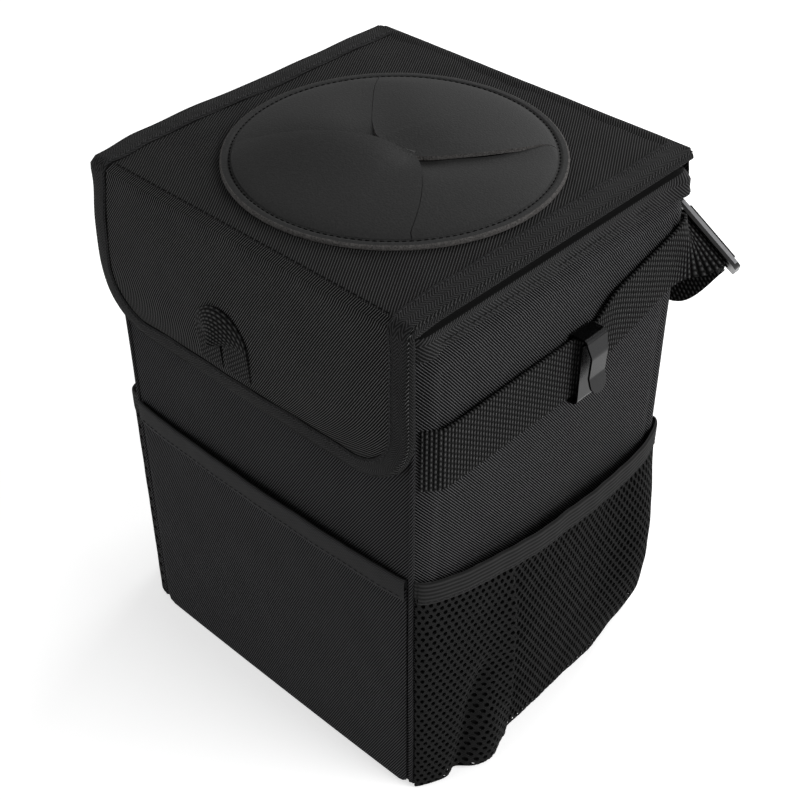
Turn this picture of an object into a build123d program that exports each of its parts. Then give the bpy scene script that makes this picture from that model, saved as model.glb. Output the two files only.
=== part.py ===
from build123d import *
import math
import os

# Car trash bin of stiffened cloth. Millimetres. X runs to the right when the
# front is faced, Y runs to the back, Z is up, and the origin is the middle of
# the base on the floor.

# Body walls
body_width = 178.0
body_depth = 168.0
rim_height = 259.4
panel_thickness = 2.2
board_thickness = 2.0
base_board_thickness = 3.0
liner_thickness = 0.8
side_padding = 4.0
side_bevel = 9.0
side_padding_margin = 1.0
welt_radius = 1.2

# Folded edge tape
tape_width = 12.0
tape_thickness = 0.9

# Lid
lid_side_overhang = 1.0
lid_lining_thickness = 1.0
lid_board_thickness = 2.0
lid_cover_thickness = 1.4
lid_hinge_setback = 1.0
hinge_tape_height = 22.0
hinge_tape_thickness = 0.7
moving_clearance = 0.4

# Moulded disc with four petals
disc_radius = 72.0
disc_back_shift = -3.0
disc_flange_thickness = 2.2
dome_radius = 66.0
dome_height = 7.5
dome_wall = 1.8
slit_reach = 62.0
slit_cross_shift = 12.0
slit_gap = 0.5
slit_end_gap = 0.9
slit_relief_width = 0.6
slit_relief_depth = 1.2
petal_root_gap = 0.3
petal_corner_relief = 4.5
petal_tip_cut = 1.6
lid_hole_radius = 64.0

# Front flap
flap_side_overhang = 2.0
flap_drop = 80.0
flap_corner_radius = 30.0
flap_lining_thickness = 0.9
flap_cover_thickness = 2.0
flap_fold_gap = 0.4

# Hook-and-loop closure under the flap
closure_width = 100.0
closure_height = 22.0
closure_drop = 42.0
hook_tape_thickness = 1.2
loop_tape_thickness = 1.4

# Pull loop on the flap
pull_webbing_width = 15.0
pull_webbing_thickness = 1.2
pull_leg_length = 15.0
pull_bow = 7.0
pull_leg_gap = 1.6
pull_side_shift = -11.0

# Front pocket
front_pocket_height = 136.0
front_pocket_bulge = 6.5
front_pocket_bottom_bulge = 0.6
front_pocket_wall = 1.5
front_pocket_hem = 6.0

# Mesh side pockets
mesh_pocket_height = 130.0
mesh_pocket_bulge = 18.0
mesh_pocket_bottom_bulge = 11.0
mesh_pocket_end_margin = 0.5
mesh_wall = 1.3
mesh_floor_clearance = 1.0
mesh_hole_radius = 4.3
mesh_hole_pitch = 13.0
mesh_row_pitch = 11.5
mesh_field_half_length = 66.0
mesh_field_border = 9.0
elastic_width = 12.0
elastic_thickness = 0.6

# Webbing straps
strap_width = 30.0
strap_thickness = 1.5
strap_drop = 59.4
strap_knee_run = 12.0
strap_knee_rise = 9.0
strap_leave_rise = 20.5
strap_corner_rise = 22.0
strap_rise_clearance = 2.0
strap_slack_back = 35.0
strap_slack_drop = 15.0
strap_lead = 10.0
strap_tail = 6.0
strap_turn_room = 1.2
strap_bend_radius = 0.9

# Plastic slide that joins the two straps behind the right back corner
slide_width = 40.0
slide_length = 24.0
slide_thickness = 3.0
slide_end_bar = 3.5
slide_middle_bar = 5.0
slide_slot_side_clearance = 1.0
slide_corner_radius = 3.0
slide_out_from_side = 4.5
slide_behind_back = 17.0
slide_above_strap = 17.5
slide_slope = 31.6
slide_lean = 47.8
strap_bar_clearance = 0.3

# Spring clip on the right strap
clip_sheet = 1.0
clip_width = 13.0
clip_tongue_width = 10.4
clip_along_side = 9.5
clip_clearance = 0.4
clip_plate_gap = 3.0
clip_plate_lowering = 2.0
clip_roof_reach = 8.1
clip_shoulder_reach = 2.3
clip_shoulder_height = 8.3
clip_pinch_gap = 3.0
clip_pinch_drop = 2.0
clip_tip_flare = 2.4
clip_tip_drop = 10.0
clip_tip_radius = 5.0
clip_back_radius = 1.4
clip_roof_radius = 1.8
clip_shoulder_radius = 5.0
clip_pinch_radius = 3.0

# Places that follow from the sizes above
half_width = body_width / 2
half_depth = body_depth / 2
wall_top = rim_height - tape_thickness
tape_bottom = rim_height - tape_width
side_inner = half_width - panel_thickness
end_inner = half_depth - panel_thickness
board_side_inner = side_inner - board_thickness
board_end_inner = end_inner - board_thickness
cavity_half_width = board_side_inner - liner_thickness
cavity_half_depth = board_end_inner - liner_thickness
base_top = panel_thickness + base_board_thickness

flap_inner = -half_depth - loop_tape_thickness - moving_clearance - hook_tape_thickness
flap_outer = flap_inner - flap_lining_thickness - flap_cover_thickness
flap_half_width = half_width + flap_side_overhang

lid_bottom = rim_height + tape_thickness + moving_clearance
lid_board_bottom = lid_bottom + lid_lining_thickness
lid_cover_bottom = lid_board_bottom + lid_board_thickness
lid_top = lid_cover_bottom + lid_cover_thickness
lid_half_width = half_width + lid_side_overhang
lid_front = flap_inner + tape_thickness + moving_clearance
lid_hinge_y = half_depth + tape_thickness + hinge_tape_thickness
lid_back = lid_hinge_y - lid_hinge_setback

flap_top = lid_top - flap_fold_gap
flap_bottom = lid_top - flap_drop

flange_top = lid_top + disc_flange_thickness
sphere_radius = (dome_radius**2 + dome_height**2) / (2 * dome_height)
sphere_centre_z = flange_top + dome_height - sphere_radius
petal_reach = slit_reach / math.sqrt(2)

side_face = half_width + side_padding
strap_height = rim_height - strap_drop
strap_inner = side_face + 2 * clip_clearance + clip_sheet
strap_centre = strap_inner + strap_thickness / 2
strap_outer = strap_inner + strap_thickness
strap_rise_start = clip_along_side + clip_width / 2 + strap_rise_clearance


def block(x_low, x_high, y_low, y_high, z_low, z_high):
    """A box between two corners."""
    centre = Pos((x_low + x_high) / 2, (y_low + y_high) / 2, (z_low + z_high) / 2)
    return centre * Box(x_high - x_low, y_high - y_low, z_high - z_low)


def slab(face, y_back, y_front):
    """A face drawn in the XZ plane, thickened from y_back forward to y_front."""
    return Pos(0, y_back, 0) * extrude(face, amount=y_back - y_front)


def flip(solid):
    """The left-hand twin of a right-hand piece."""
    return mirror(solid, about=Plane.YZ)


def front_panel():
    welt_height = tape_bottom - panel_thickness - moving_clearance
    welt_place = Pos(half_width - welt_radius, -half_depth, panel_thickness + welt_height / 2)
    welt = welt_place * Cylinder(welt_radius, welt_height)
    wall = block(-half_width, half_width, -half_depth, -end_inner, panel_thickness, wall_top)
    return wall + welt + flip(welt)


def back_panel():
    return block(-half_width, half_width, end_inner, half_depth, panel_thickness, wall_top)


def right_panel():
    """A flat wall with a padded face that stands proud inside a bevelled border."""
    wall = block(side_inner, half_width, -end_inner, end_inner, panel_thickness, wall_top)
    low = panel_thickness + side_padding_margin
    high = tape_bottom - side_padding_margin
    length = 2 * (end_inner - side_padding_margin)
    middle = (low + high) / 2
    root_plane = Plane((half_width, 0, middle), x_dir=(0, 1, 0), z_dir=(1, 0, 0))
    face_plane = Plane((side_face, 0, middle), x_dir=(0, 1, 0), z_dir=(1, 0, 0))
    root = root_plane * Rectangle(length, high - low)
    face = face_plane * Rectangle(length - 2 * side_bevel, high - low - 2 * side_bevel)
    return wall + loft([root, face], ruled=True)


def bottom_panel():
    return block(-half_width, half_width, -half_depth, half_depth, 0, panel_thickness)


def front_board():
    return block(-side_inner, side_inner, -end_inner, -board_end_inner, panel_thickness, wall_top)


def right_board():
    return block(
        board_side_inner, side_inner, -board_end_inner, board_end_inner, panel_thickness, wall_top
    )


def base_board():
    return block(
        -board_side_inner, board_side_inner, -board_end_inner, board_end_inner, panel_thickness, base_top
    )


def liner():
    outside = block(
        -board_side_inner, board_side_inner, -board_end_inner, board_end_inner, base_top, wall_top
    )
    inside = block(
        -cavity_half_width, cavity_half_width, -cavity_half_depth, cavity_half_depth,
        base_top + liner_thickness, wall_top + 1,
    )
    return outside - inside


def rim_binding():
    """Tape folded over the tops of all four walls."""
    outer_x = half_width + tape_thickness
    outer_y = half_depth + tape_thickness
    inner_x = cavity_half_width - tape_thickness
    inner_y = cavity_half_depth - tape_thickness
    ring = block(-outer_x, outer_x, -outer_y, outer_y, tape_bottom, rim_height)
    ring -= block(-inner_x, inner_x, -inner_y, inner_y, tape_bottom - 1, rim_height + 1)
    walls = block(-half_width, half_width, -half_depth, half_depth, tape_bottom - 1, wall_top)
    walls -= block(
        -cavity_half_width, cavity_half_width, -cavity_half_depth, cavity_half_depth,
        tape_bottom - 2, wall_top + 1,
    )
    return ring - walls


def hinge_tape():
    """Cloth strip sewn along the back, under the line on which the lid turns."""
    near = half_depth + tape_thickness
    return block(
        -half_width, half_width, near, near + hinge_tape_thickness,
        rim_height - hinge_tape_height, rim_height,
    )


def front_pocket_profile(bulge, thickness, height):
    """Plan outline of the pocket's wall: a flat hem at each end and a bow between."""
    half = half_width - 2 * welt_radius - side_padding_margin
    bow = half - front_pocket_hem
    inner_arc = ThreePointArc((-bow, 0), (0, -bulge), (bow, 0))
    outer_arc = ThreePointArc((-bow, -thickness), (0, -bulge - thickness), (bow, -thickness))
    left = Polyline((-bow, 0), (-half, 0), (-half, -thickness), (-bow, -thickness))
    right = Polyline((bow, 0), (half, 0), (half, -thickness), (bow, -thickness))
    return Pos(0, -half_depth, height) * make_face([inner_arc, left, outer_arc, right])


def front_pocket():
    """A cloth wall sewn down at the sides and the foot, bowing out towards its mouth."""
    top = front_pocket_height - tape_width
    half = half_width - 2 * welt_radius - side_padding_margin
    low = front_pocket_profile(front_pocket_bottom_bulge, front_pocket_wall, front_pocket_hem)
    high = front_pocket_profile(front_pocket_bulge, front_pocket_wall, top)
    hem = block(
        -half, half, -half_depth - front_pocket_wall, -half_depth, panel_thickness, front_pocket_hem
    )
    return hem + loft([low, high], ruled=True)


def front_pocket_binding():
    low = front_pocket_height - tape_width
    profile = front_pocket_profile(front_pocket_bulge, front_pocket_wall + tape_thickness, low)
    return extrude(profile, amount=tape_width)


def bow_face(bulge, half_length, height, reach_in):
    """Half an ellipse on the right side, seen in plan, with a straight tail inwards."""
    arc = EllipticalCenterArc((0, 0), bulge, half_length, start_angle=-90, arc_size=180)
    tail = Polyline(
        (0, half_length), (-reach_in, half_length), (-reach_in, -half_length), (0, -half_length)
    )
    return Pos(half_width, 0, height) * make_face([arc, tail])


def bow_outer(bulge, half_length, height):
    arc = EllipticalCenterArc((0, 0), bulge, half_length, start_angle=-90, arc_size=180)
    return Pos(half_width, 0, height) * make_face([arc, Line((0, half_length), (0, -half_length))])


def mesh_bulge(height):
    """How far the mesh stands out from the wall at a height."""
    span = mesh_pocket_height - elastic_width - mesh_floor_clearance
    share = (height - mesh_floor_clearance) / span
    return mesh_pocket_bottom_bulge + share * (mesh_pocket_bulge - mesh_pocket_bottom_bulge)


def mesh_holes():
    """Hexagonal gaps in staggered rows, cut straight through the mesh wall."""
    top = mesh_pocket_height - elastic_width - mesh_field_border
    low = mesh_floor_clearance + mesh_field_border
    rows = int((top - low) / mesh_row_pitch) + 1
    columns = int(2 * mesh_field_half_length / mesh_hole_pitch) + 1
    holes = []
    for row in range(rows):
        shift = mesh_hole_pitch / 2 if row % 2 else 0
        for column in range(columns - row % 2):
            along = (column - (columns - 1) / 2) * mesh_hole_pitch + shift
            height = low + row * mesh_row_pitch
            place = Plane((half_width, along, height), x_dir=(0, 1, 0), z_dir=(1, 0, 0))
            hexagon = place * RegularPolygon(mesh_hole_radius, 6, rotation=30)
            holes.append(extrude(hexagon, amount=mesh_pocket_bulge + side_bevel))
    return holes


def right_mesh_pocket():
    """A net wall and floor in one piece, open at the top and against the side panel."""
    half = end_inner + panel_thickness - mesh_pocket_end_margin
    low = mesh_floor_clearance
    high = mesh_pocket_height - elastic_width
    outside = loft([bow_outer(mesh_bulge(low), half, low), bow_outer(mesh_bulge(high), half, high)])
    floor = low + mesh_wall
    over = high + 1
    inside = loft([
        bow_face(mesh_bulge(floor) - mesh_wall, half - mesh_wall, floor, 1),
        bow_face(mesh_bulge(over) - mesh_wall, half - mesh_wall, over, 1),
    ])
    return outside - inside - mesh_holes()


def right_pocket_elastic():
    half = end_inner + panel_thickness - mesh_pocket_end_margin
    low = mesh_pocket_height - elastic_width
    bulge = mesh_pocket_bulge
    inset = mesh_wall + elastic_thickness
    outside = extrude(bow_outer(bulge + elastic_thickness, half, low), amount=elastic_width)
    inside = extrude(bow_face(bulge - inset, half - inset, low - 1, 1), amount=elastic_width + 2)
    return outside - inside


def ribbon(stations):
    """Webbing lofted through stations of (centre, direction across the webbing)."""
    sections = []
    last = len(stations) - 1
    for index, (centre, across) in enumerate(stations):
        before = stations[max(index - 1, 0)][0]
        after = stations[min(index + 1, last)][0]
        along = (after - before).normalized()
        square = along - across * along.dot(across)
        plane = Plane(centre, x_dir=across, z_dir=square)
        sections.append(plane * Rectangle(strap_width, strap_thickness))
    return loft(sections, ruled=True)


def slide_place():
    """The slide hangs askew behind the right back corner: its local X runs along its bars."""
    centre = (
        half_width + slide_out_from_side,
        half_depth + slide_behind_back,
        strap_height + slide_above_strap,
    )
    return Location(centre) * Rot(0, slide_slope, 0) * Rot(-slide_lean, 0, 0)


def slide_point(along, above):
    return (slide_place() * Pos(0, along, above)).position


def turned_across(angle):
    """The direction across the webbing, tipped inwards from upright by an angle."""
    return Vector(-math.sin(math.radians(angle)), 0, math.cos(math.radians(angle)))


def strap_loop_radius():
    """Middle radius of webbing wrapped round an end bar of the slide."""
    corner = math.hypot(slide_end_bar, slide_thickness) / 2
    return corner + strap_bar_clearance + strap_thickness / 2


def right_strap():
    """Sewn into the front seam, flat along the side, up behind the clip, then twisted to the slide."""
    upright = turned_across(0)
    full_turn = 90 - slide_slope
    bar = -(slide_length - slide_end_bar) / 2
    radius = strap_loop_radius()
    touch = slide_point(bar + radius, 0)
    approach = slide_point(bar + radius, -2 * slide_thickness)
    rise = Vector(strap_centre, strap_rise_start, strap_height)
    knee = Vector(strap_centre, strap_rise_start + strap_knee_run, strap_height + strap_knee_rise)
    leave = Vector(strap_centre, end_inner - side_bevel, strap_height + strap_leave_rise)
    corner = Vector(strap_centre, end_inner, strap_height + strap_corner_rise)
    stations = [
        (Vector(half_width + strap_thickness / 2, -end_inner, strap_height), upright),
        (Vector(strap_centre, -end_inner + side_bevel + side_padding_margin, strap_height), upright),
        (rise, upright),
        (knee, upright),
        (leave, upright),
        (corner, turned_across(0.2 * full_turn)),
        ((corner + approach) / 2, turned_across(0.6 * full_turn)),
        (approach, turned_across(full_turn)),
        (touch, turned_across(full_turn)),
    ]
    ring_plane = Plane(slide_point(bar, 0), z_dir=turned_across(full_turn))
    ring = ring_plane * (Circle(radius + strap_thickness / 2) - Circle(radius - strap_thickness / 2))
    loop = extrude(ring, amount=strap_width / 2, both=True)
    return ribbon(stations) + loop


def long_strap():
    """Threaded through the slide, slack across the back, then sewn along the left side."""
    level = -slide_thickness / 2 - strap_bar_clearance - strap_thickness / 2
    tail_level = level - strap_thickness - 2 * strap_bar_clearance
    bar = slide_middle_bar / 2
    far = slide_length / 2
    lead_end = far + strap_lead
    weave = FilletPolyline(
        [
            (lead_end, level),
            (far - slide_end_bar - strap_turn_room, level),
            (bar + strap_turn_room, -level),
            (-bar - strap_turn_room, -level),
            (-bar - strap_turn_room, tail_level),
            (far + strap_tail, tail_level),
        ],
        radius=strap_bend_radius,
    )
    band_plane = Plane((0, 0, 0), x_dir=(0, 1, 0), z_dir=(1, 0, 0))
    band = extrude(band_plane * trace(weave, strap_thickness), amount=strap_width / 2, both=True)
    threaded = slide_place() * band
    full_turn = 90 - slide_slope
    start = slide_point(lead_end, level)
    heading = (start - slide_point(far, level)).normalized()
    stations = [
        (start, turned_across(full_turn)),
        (start + heading * strap_lead, turned_across(0.9 * full_turn)),
    ]
    slack = [
        (0.73, 1.0, 1.0, 0.6),
        (0.46, 0.91, 0.93, 0.3),
        (0.04, 0.74, 0.67, 0.1),
        (-0.5, 0.49, 0.2, 0.0),
        (-0.91, 0.24, 0.0, 0.0),
    ]
    for across_share, back_share, drop_share, turn_share in slack:
        point = Vector(
            half_width * across_share,
            half_depth + strap_slack_back * back_share,
            strap_height - strap_slack_drop * drop_share,
        )
        stations.append((point, turned_across(turn_share * full_turn)))
    upright = turned_across(0)
    corner = Vector(side_padding - strap_centre, half_depth + side_padding, strap_height)
    stations += [
        (corner, upright),
        (Vector(-strap_centre, end_inner - side_bevel, strap_height), upright),
        (Vector(-strap_centre, -end_inner + side_bevel + side_padding_margin, strap_height), upright),
        (Vector(-half_width - strap_thickness / 2, -end_inner, strap_height), upright),
    ]
    return threaded + ribbon(stations)


def strap_slide():
    """A flat plastic plate with two slots, leaving two end bars and a middle bar."""
    plate = extrude(
        RectangleRounded(slide_width, slide_length, slide_corner_radius),
        amount=slide_thickness / 2, both=True,
    )
    slot_length = strap_width + 2 * slide_slot_side_clearance
    slot_width = (slide_length - 2 * slide_end_bar - slide_middle_bar) / 2
    slot_place = (slide_middle_bar + slot_width) / 2
    for side in (-1, 1):
        plate -= Pos(0, side * slot_place, 0) * Box(slot_length, slot_width, 2 * slide_thickness)
    return slide_place() * plate


def side_clip():
    """One bent strip: a plate in front of the strap, round under it, up behind, and a sprung tongue."""
    strap_low = strap_height - strap_width / 2
    strap_high = strap_height + strap_width / 2
    rear = side_face + clip_clearance + clip_sheet / 2
    plate = strap_outer + clip_plate_gap + clip_sheet / 2
    bend = (plate - rear) / 2
    low = strap_low - clip_clearance - clip_sheet / 2 - 0.4 * bend
    high = strap_high + clip_clearance + clip_sheet
    roof_end = rear + clip_roof_reach
    pinch = plate + clip_sheet + clip_pinch_gap
    path = FilletPolyline(
        [
            (plate, strap_high - clip_plate_lowering),
            (plate, low),
            (rear, low),
            (rear, high),
            (roof_end, high),
            (roof_end + clip_shoulder_reach, strap_height + clip_shoulder_height),
            (pinch, strap_height - clip_pinch_drop),
            (pinch + clip_tip_flare, strap_height - clip_tip_drop),
        ],
        radius=[
            0.9 * bend, 0.9 * bend, clip_back_radius,
            clip_roof_radius, clip_shoulder_radius, clip_pinch_radius,
        ],
    )
    plane = Plane((0, clip_along_side, 0), x_dir=(1, 0, 0), z_dir=(0, -1, 0))
    strip = extrude(plane * trace(path, clip_sheet), amount=clip_width / 2, both=True)
    reach = 2 * clip_roof_reach
    half_tongue = clip_tongue_width / 2
    taper = Plane((plate + clip_sheet, clip_along_side, 0), x_dir=(0, 1, 0), z_dir=(1, 0, 0))
    for side in (-1, 1):
        beside = Polyline(
            (side * clip_width / 2, strap_high),
            (side * half_tongue, strap_height + clip_shoulder_height),
            (side * half_tongue, low - clip_sheet),
            (side * clip_width, low - clip_sheet),
            (side * clip_width, strap_high),
            close=True,
        )
        strip -= extrude(taper * make_face(beside), amount=reach)
    tip = Vector(pinch + clip_tip_flare, clip_along_side, strap_height - clip_tip_drop)
    short_edges = strip.edges().filter_by(lambda edge: edge.length < 1.5 * clip_sheet)
    return fillet(short_edges.sort_by_distance(tip)[:2], clip_tip_radius)


def lid_layer(low, high):
    """One layer of the lid with the round hole under the disc."""
    sheet = block(-lid_half_width, lid_half_width, lid_front, lid_back, low, high)
    hole = Pos(0, disc_back_shift, (low + high) / 2) * Cylinder(lid_hole_radius, 2 * (high - low))
    return sheet - hole


def right_lid_binding():
    """Tape folded round the lid's side edge."""
    outer = lid_half_width + tape_thickness
    inner = lid_half_width - tape_width
    wrap = block(
        inner, outer, lid_front, lid_back, lid_bottom - tape_thickness, lid_top + tape_thickness
    )
    return wrap - block(inner - 1, lid_half_width, lid_front - 1, lid_back + 1, lid_bottom, lid_top)


def sphere_height(radius, reach):
    """Height of a concentric sphere above the floor, at a distance from the disc's axis."""
    return sphere_centre_z + math.sqrt(radius**2 - reach**2)


def disc_shell():
    """The whole moulding before it is cut: a flat flange and a shallow dome."""
    inside = sphere_radius - dome_wall
    seat = math.sqrt(inside**2 - (lid_top - sphere_centre_z) ** 2)
    middle = dome_radius / 2
    outer_arc = ThreePointArc(
        (dome_radius, flange_top),
        (middle, sphere_height(sphere_radius, middle)),
        (0, flange_top + dome_height),
    )
    inner_arc = ThreePointArc(
        (0, flange_top + dome_height - dome_wall),
        (middle, sphere_height(inside, middle)),
        (seat, lid_top),
    )
    rim = Polyline(
        (seat, lid_top), (disc_radius, lid_top), (disc_radius, flange_top), (dome_radius, flange_top)
    )
    axis_line = Line(outer_arc @ 1, inner_arc @ 0)
    section = Plane.XZ * make_face([rim, outer_arc, axis_line, inner_arc])
    return revolve(section, axis=Axis.Z)


def disc_rim():
    """What stays sewn to the lid: the flange and the dome outside the four petals."""
    high = flange_top + 2 * dome_height
    window = block(-petal_reach, petal_reach, -petal_reach, petal_reach, lid_bottom, high)
    return Pos(0, disc_back_shift, 0) * (disc_shell() - window)


def petal_edge(cross, corner, inward):
    """A petal's edge along one slit: where it stops short of the crossing and of the corner.

    The slit is narrow at the crossing and widens to its end.
    """
    start = cross + inward * slit_gap / 2
    along = corner + inward * slit_end_gap / 2 - start
    tip = start + along * (cross.Y - petal_tip_cut - start.Y) / along.Y
    stop = petal_reach - petal_corner_relief
    end = start + along * (math.copysign(stop, corner.X) - start.X) / along.X
    return tip, end


def petal(turn):
    """One triangular petal, turned about the disc's axis from the front place.

    Its slit edges are relieved underneath, so it swings down past its neighbours.
    """
    cross = Vector(slit_cross_shift, 0).rotate(Axis.Z, -turn)
    right_corner = Vector(petal_reach, -petal_reach)
    left_corner = Vector(-petal_reach, -petal_reach)
    right_way = (right_corner - cross).normalized()
    left_way = (left_corner - cross).normalized()
    right_tip, right_end = petal_edge(cross, right_corner, Vector(right_way.Y, -right_way.X))
    left_tip, left_end = petal_edge(cross, left_corner, Vector(-left_way.Y, left_way.X))
    root = -petal_reach + petal_root_gap
    outline = make_face(
        Polyline(
            left_tip, left_end, (left_end.X, root), (right_end.X, root), right_end, right_tip, close=True
        )
    )
    prism = Pos(0, 0, lid_bottom) * extrude(outline, amount=disc_radius)
    ball = Sphere(sphere_radius) - Sphere(sphere_radius - dome_wall)
    blank = (Pos(0, 0, sphere_centre_z) * Rot(90, 0, 0) * ball) & prism
    under_face = blank.faces().filter_by(GeomType.SPHERE).sort_by(SortBy.RADIUS)[0]
    slit_edges = under_face.edges().sort_by(SortBy.LENGTH)[-3:-1]
    relieved = chamfer(slit_edges, slit_relief_width, slit_relief_depth, reference=under_face)
    return Pos(0, disc_back_shift, 0) * Rot(0, 0, turn) * relieved


def flap_outline(inset):
    """The flap's front view, with rounded lower corners, drawn in by an inset."""
    half = flap_half_width - inset
    low = flap_bottom + inset
    corner = flap_corner_radius - inset
    left = CenterArc((-half + corner, low + corner), corner, 180, 90)
    right = CenterArc((half - corner, low + corner), corner, 270, 90)
    sides = Polyline(right @ 1, (half, flap_top), (-half, flap_top), left @ 0)
    return Plane.XZ * make_face([left, Line(left @ 1, right @ 0), right, sides])


def flap_lining():
    return slab(flap_outline(0), flap_inner, flap_inner - flap_lining_thickness)


def flap_cover():
    return slab(flap_outline(0), flap_inner - flap_lining_thickness, flap_outer)


def flap_binding():
    """Tape folded round the flap's sides and lower edge."""
    border = flap_outline(-tape_thickness) - flap_outline(tape_width)
    wrap = slab(border, flap_inner + tape_thickness, flap_outer - tape_thickness)
    return wrap - slab(flap_outline(0), flap_inner, flap_outer)


def closure_tape(y_back, y_front):
    top = lid_top - closure_drop
    half = closure_width / 2
    return block(-half, half, y_front, y_back, top - closure_height, top)


def pull_section(near, far, lift):
    """Section of the pull webbing across its width, its inner edge lifted off the flap."""
    face = flap_outer
    skin = pull_webbing_thickness
    points = [(near, face - lift - skin), (far, face - skin), (far, face), (near, face - lift)]
    return make_face(Polyline(points, close=True))


def pull_loop():
    """Webbing turned over into a small hood, both ends sewn under the flap's tape."""
    near = pull_leg_gap / 2
    far = near + pull_webbing_width
    foot = flap_bottom + tape_width
    crown = foot + pull_leg_length
    raised = pull_section(near, far, pull_bow)
    flat = pull_section(near, far, 0)
    leg = loft([Pos(0, 0, crown) * raised, Pos(0, 0, foot) * flat], ruled=True)
    crown_axis = Axis((0, 0, crown), (0, 1, 0))
    hood = revolve(Pos(0, 0, crown) * raised, axis=crown_axis, revolution_arc=-180)
    return Pos(pull_side_shift, 0, 0) * (hood + leg + flip(leg))


nodes = {
    "front_panel": front_panel(),
    "back_panel": back_panel(),
    "right_panel": right_panel(),
    "left_panel": flip(right_panel()),
    "bottom_panel": bottom_panel(),
    "front_board": front_board(),
    "back_board": mirror(front_board(), about=Plane.XZ),
    "right_board": right_board(),
    "left_board": flip(right_board()),
    "base_board": base_board(),
    "liner": liner(),
    "rim_binding": rim_binding(),
    "hinge_tape": hinge_tape(),
    "front_pocket": front_pocket(),
    "front_pocket_binding": front_pocket_binding(),
    "right_mesh_pocket": right_mesh_pocket(),
    "left_mesh_pocket": flip(right_mesh_pocket()),
    "right_pocket_elastic": right_pocket_elastic(),
    "left_pocket_elastic": flip(right_pocket_elastic()),
    "right_strap": right_strap(),
    "long_strap": long_strap(),
    "strap_slide": strap_slide(),
    "loop_tape": closure_tape(-half_depth, -half_depth - loop_tape_thickness),
    "side_clip": side_clip(),
    "lid_lining": lid_layer(lid_bottom, lid_board_bottom),
    "lid_board": lid_layer(lid_board_bottom, lid_cover_bottom),
    "lid_cover": lid_layer(lid_cover_bottom, lid_top),
    "right_lid_binding": right_lid_binding(),
    "left_lid_binding": flip(right_lid_binding()),
    "disc_rim": disc_rim(),
    "front_petal": petal(0),
    "right_petal": petal(90),
    "back_petal": petal(180),
    "left_petal": petal(270),
    "flap_lining": flap_lining(),
    "flap_cover": flap_cover(),
    "flap_binding": flap_binding(),
    "hook_tape": closure_tape(flap_inner + hook_tape_thickness, flap_inner),
    "pull_loop": pull_loop(),
}

os.makedirs("parts", exist_ok=True)
for name, solid in nodes.items():
    export_step(solid, os.path.join("parts", name + ".step"))
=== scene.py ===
import math

import bpy
import numpy as np
from bpy.props import FloatProperty, FloatVectorProperty, PointerProperty
from mathutils import Matrix, Vector


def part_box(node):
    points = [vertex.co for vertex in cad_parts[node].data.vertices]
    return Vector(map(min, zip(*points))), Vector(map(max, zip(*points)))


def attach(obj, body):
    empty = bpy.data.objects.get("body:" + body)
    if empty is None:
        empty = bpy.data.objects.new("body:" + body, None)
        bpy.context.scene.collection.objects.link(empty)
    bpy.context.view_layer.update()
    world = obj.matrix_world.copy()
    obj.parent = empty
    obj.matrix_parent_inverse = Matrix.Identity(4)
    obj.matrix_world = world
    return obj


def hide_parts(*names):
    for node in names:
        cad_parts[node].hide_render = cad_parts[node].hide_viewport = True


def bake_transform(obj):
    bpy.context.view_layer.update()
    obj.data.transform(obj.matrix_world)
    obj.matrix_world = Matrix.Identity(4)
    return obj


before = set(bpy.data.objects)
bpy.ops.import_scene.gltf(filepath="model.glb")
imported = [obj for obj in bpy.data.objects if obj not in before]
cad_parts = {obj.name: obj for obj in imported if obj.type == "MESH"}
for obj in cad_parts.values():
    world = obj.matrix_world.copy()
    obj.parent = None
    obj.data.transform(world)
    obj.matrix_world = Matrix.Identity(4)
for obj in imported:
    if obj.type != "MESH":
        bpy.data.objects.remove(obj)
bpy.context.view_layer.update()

bl_info = {
    "name": "Car trash bin",
    "version": (1, 0, 0),
    "blender": (4, 5, 0),
    "location": "3D View > Sidebar > Bin",
    "description": "Dresses the packed car trash bin in cloth, tape, webbing, net and moulded pieces",
    "category": "Object",
}

# One millimetre in metres; every size below is in millimetres
MM = 0.001


def cad(node):
    """Lowest and highest corner of a solid, in millimetres."""
    low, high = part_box(node)
    return low / MM, high / MM


# Sizes taken from the solids
HALF_WIDTH = cad("back_panel")[1].x
HALF_DEPTH = cad("back_panel")[1].y
WALL_TOP = cad("back_panel")[1].z
SIDE_FACE = cad("right_panel")[1].x
RIM_LOW, RIM_TOP = cad("rim_binding")[0].z, cad("rim_binding")[1].z
LINER_X, LINER_Y = cad("liner")[1].x, cad("liner")[1].y
LINER_FLOOR = cad("liner")[0].z
LID_BACK, LID_TOP = cad("lid_cover")[1].y, cad("lid_cover")[1].z
LID_LOW, LID_HALF = cad("lid_lining")[0].z, cad("lid_cover")[1].x
FLAP_OUT, FLAP_IN = cad("flap_cover")[0].y, cad("flap_lining")[1].y
FLAP_LOW, FLAP_HALF = cad("flap_cover")[0].z, cad("flap_cover")[1].x
POCKET_TOP = cad("front_pocket")[1].z
POCKET_BAND_TOP = cad("front_pocket_binding")[1].z
POCKET_HALF = cad("front_pocket")[1].x
NET_TOP, NET_HALF = cad("right_mesh_pocket")[1].z, cad("right_mesh_pocket")[1].y
ELASTIC_TOP = cad("right_pocket_elastic")[1].z
LOOP_TAPE, HOOK_TAPE = cad("loop_tape"), cad("hook_tape")
DISC_LOW, DISC_HIGH = cad("disc_rim")
LOOP_LOW, LOOP_HIGH = cad("pull_loop")
DISC_CENTRE_Y = (DISC_LOW.y + DISC_HIGH.y) / 2

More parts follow.
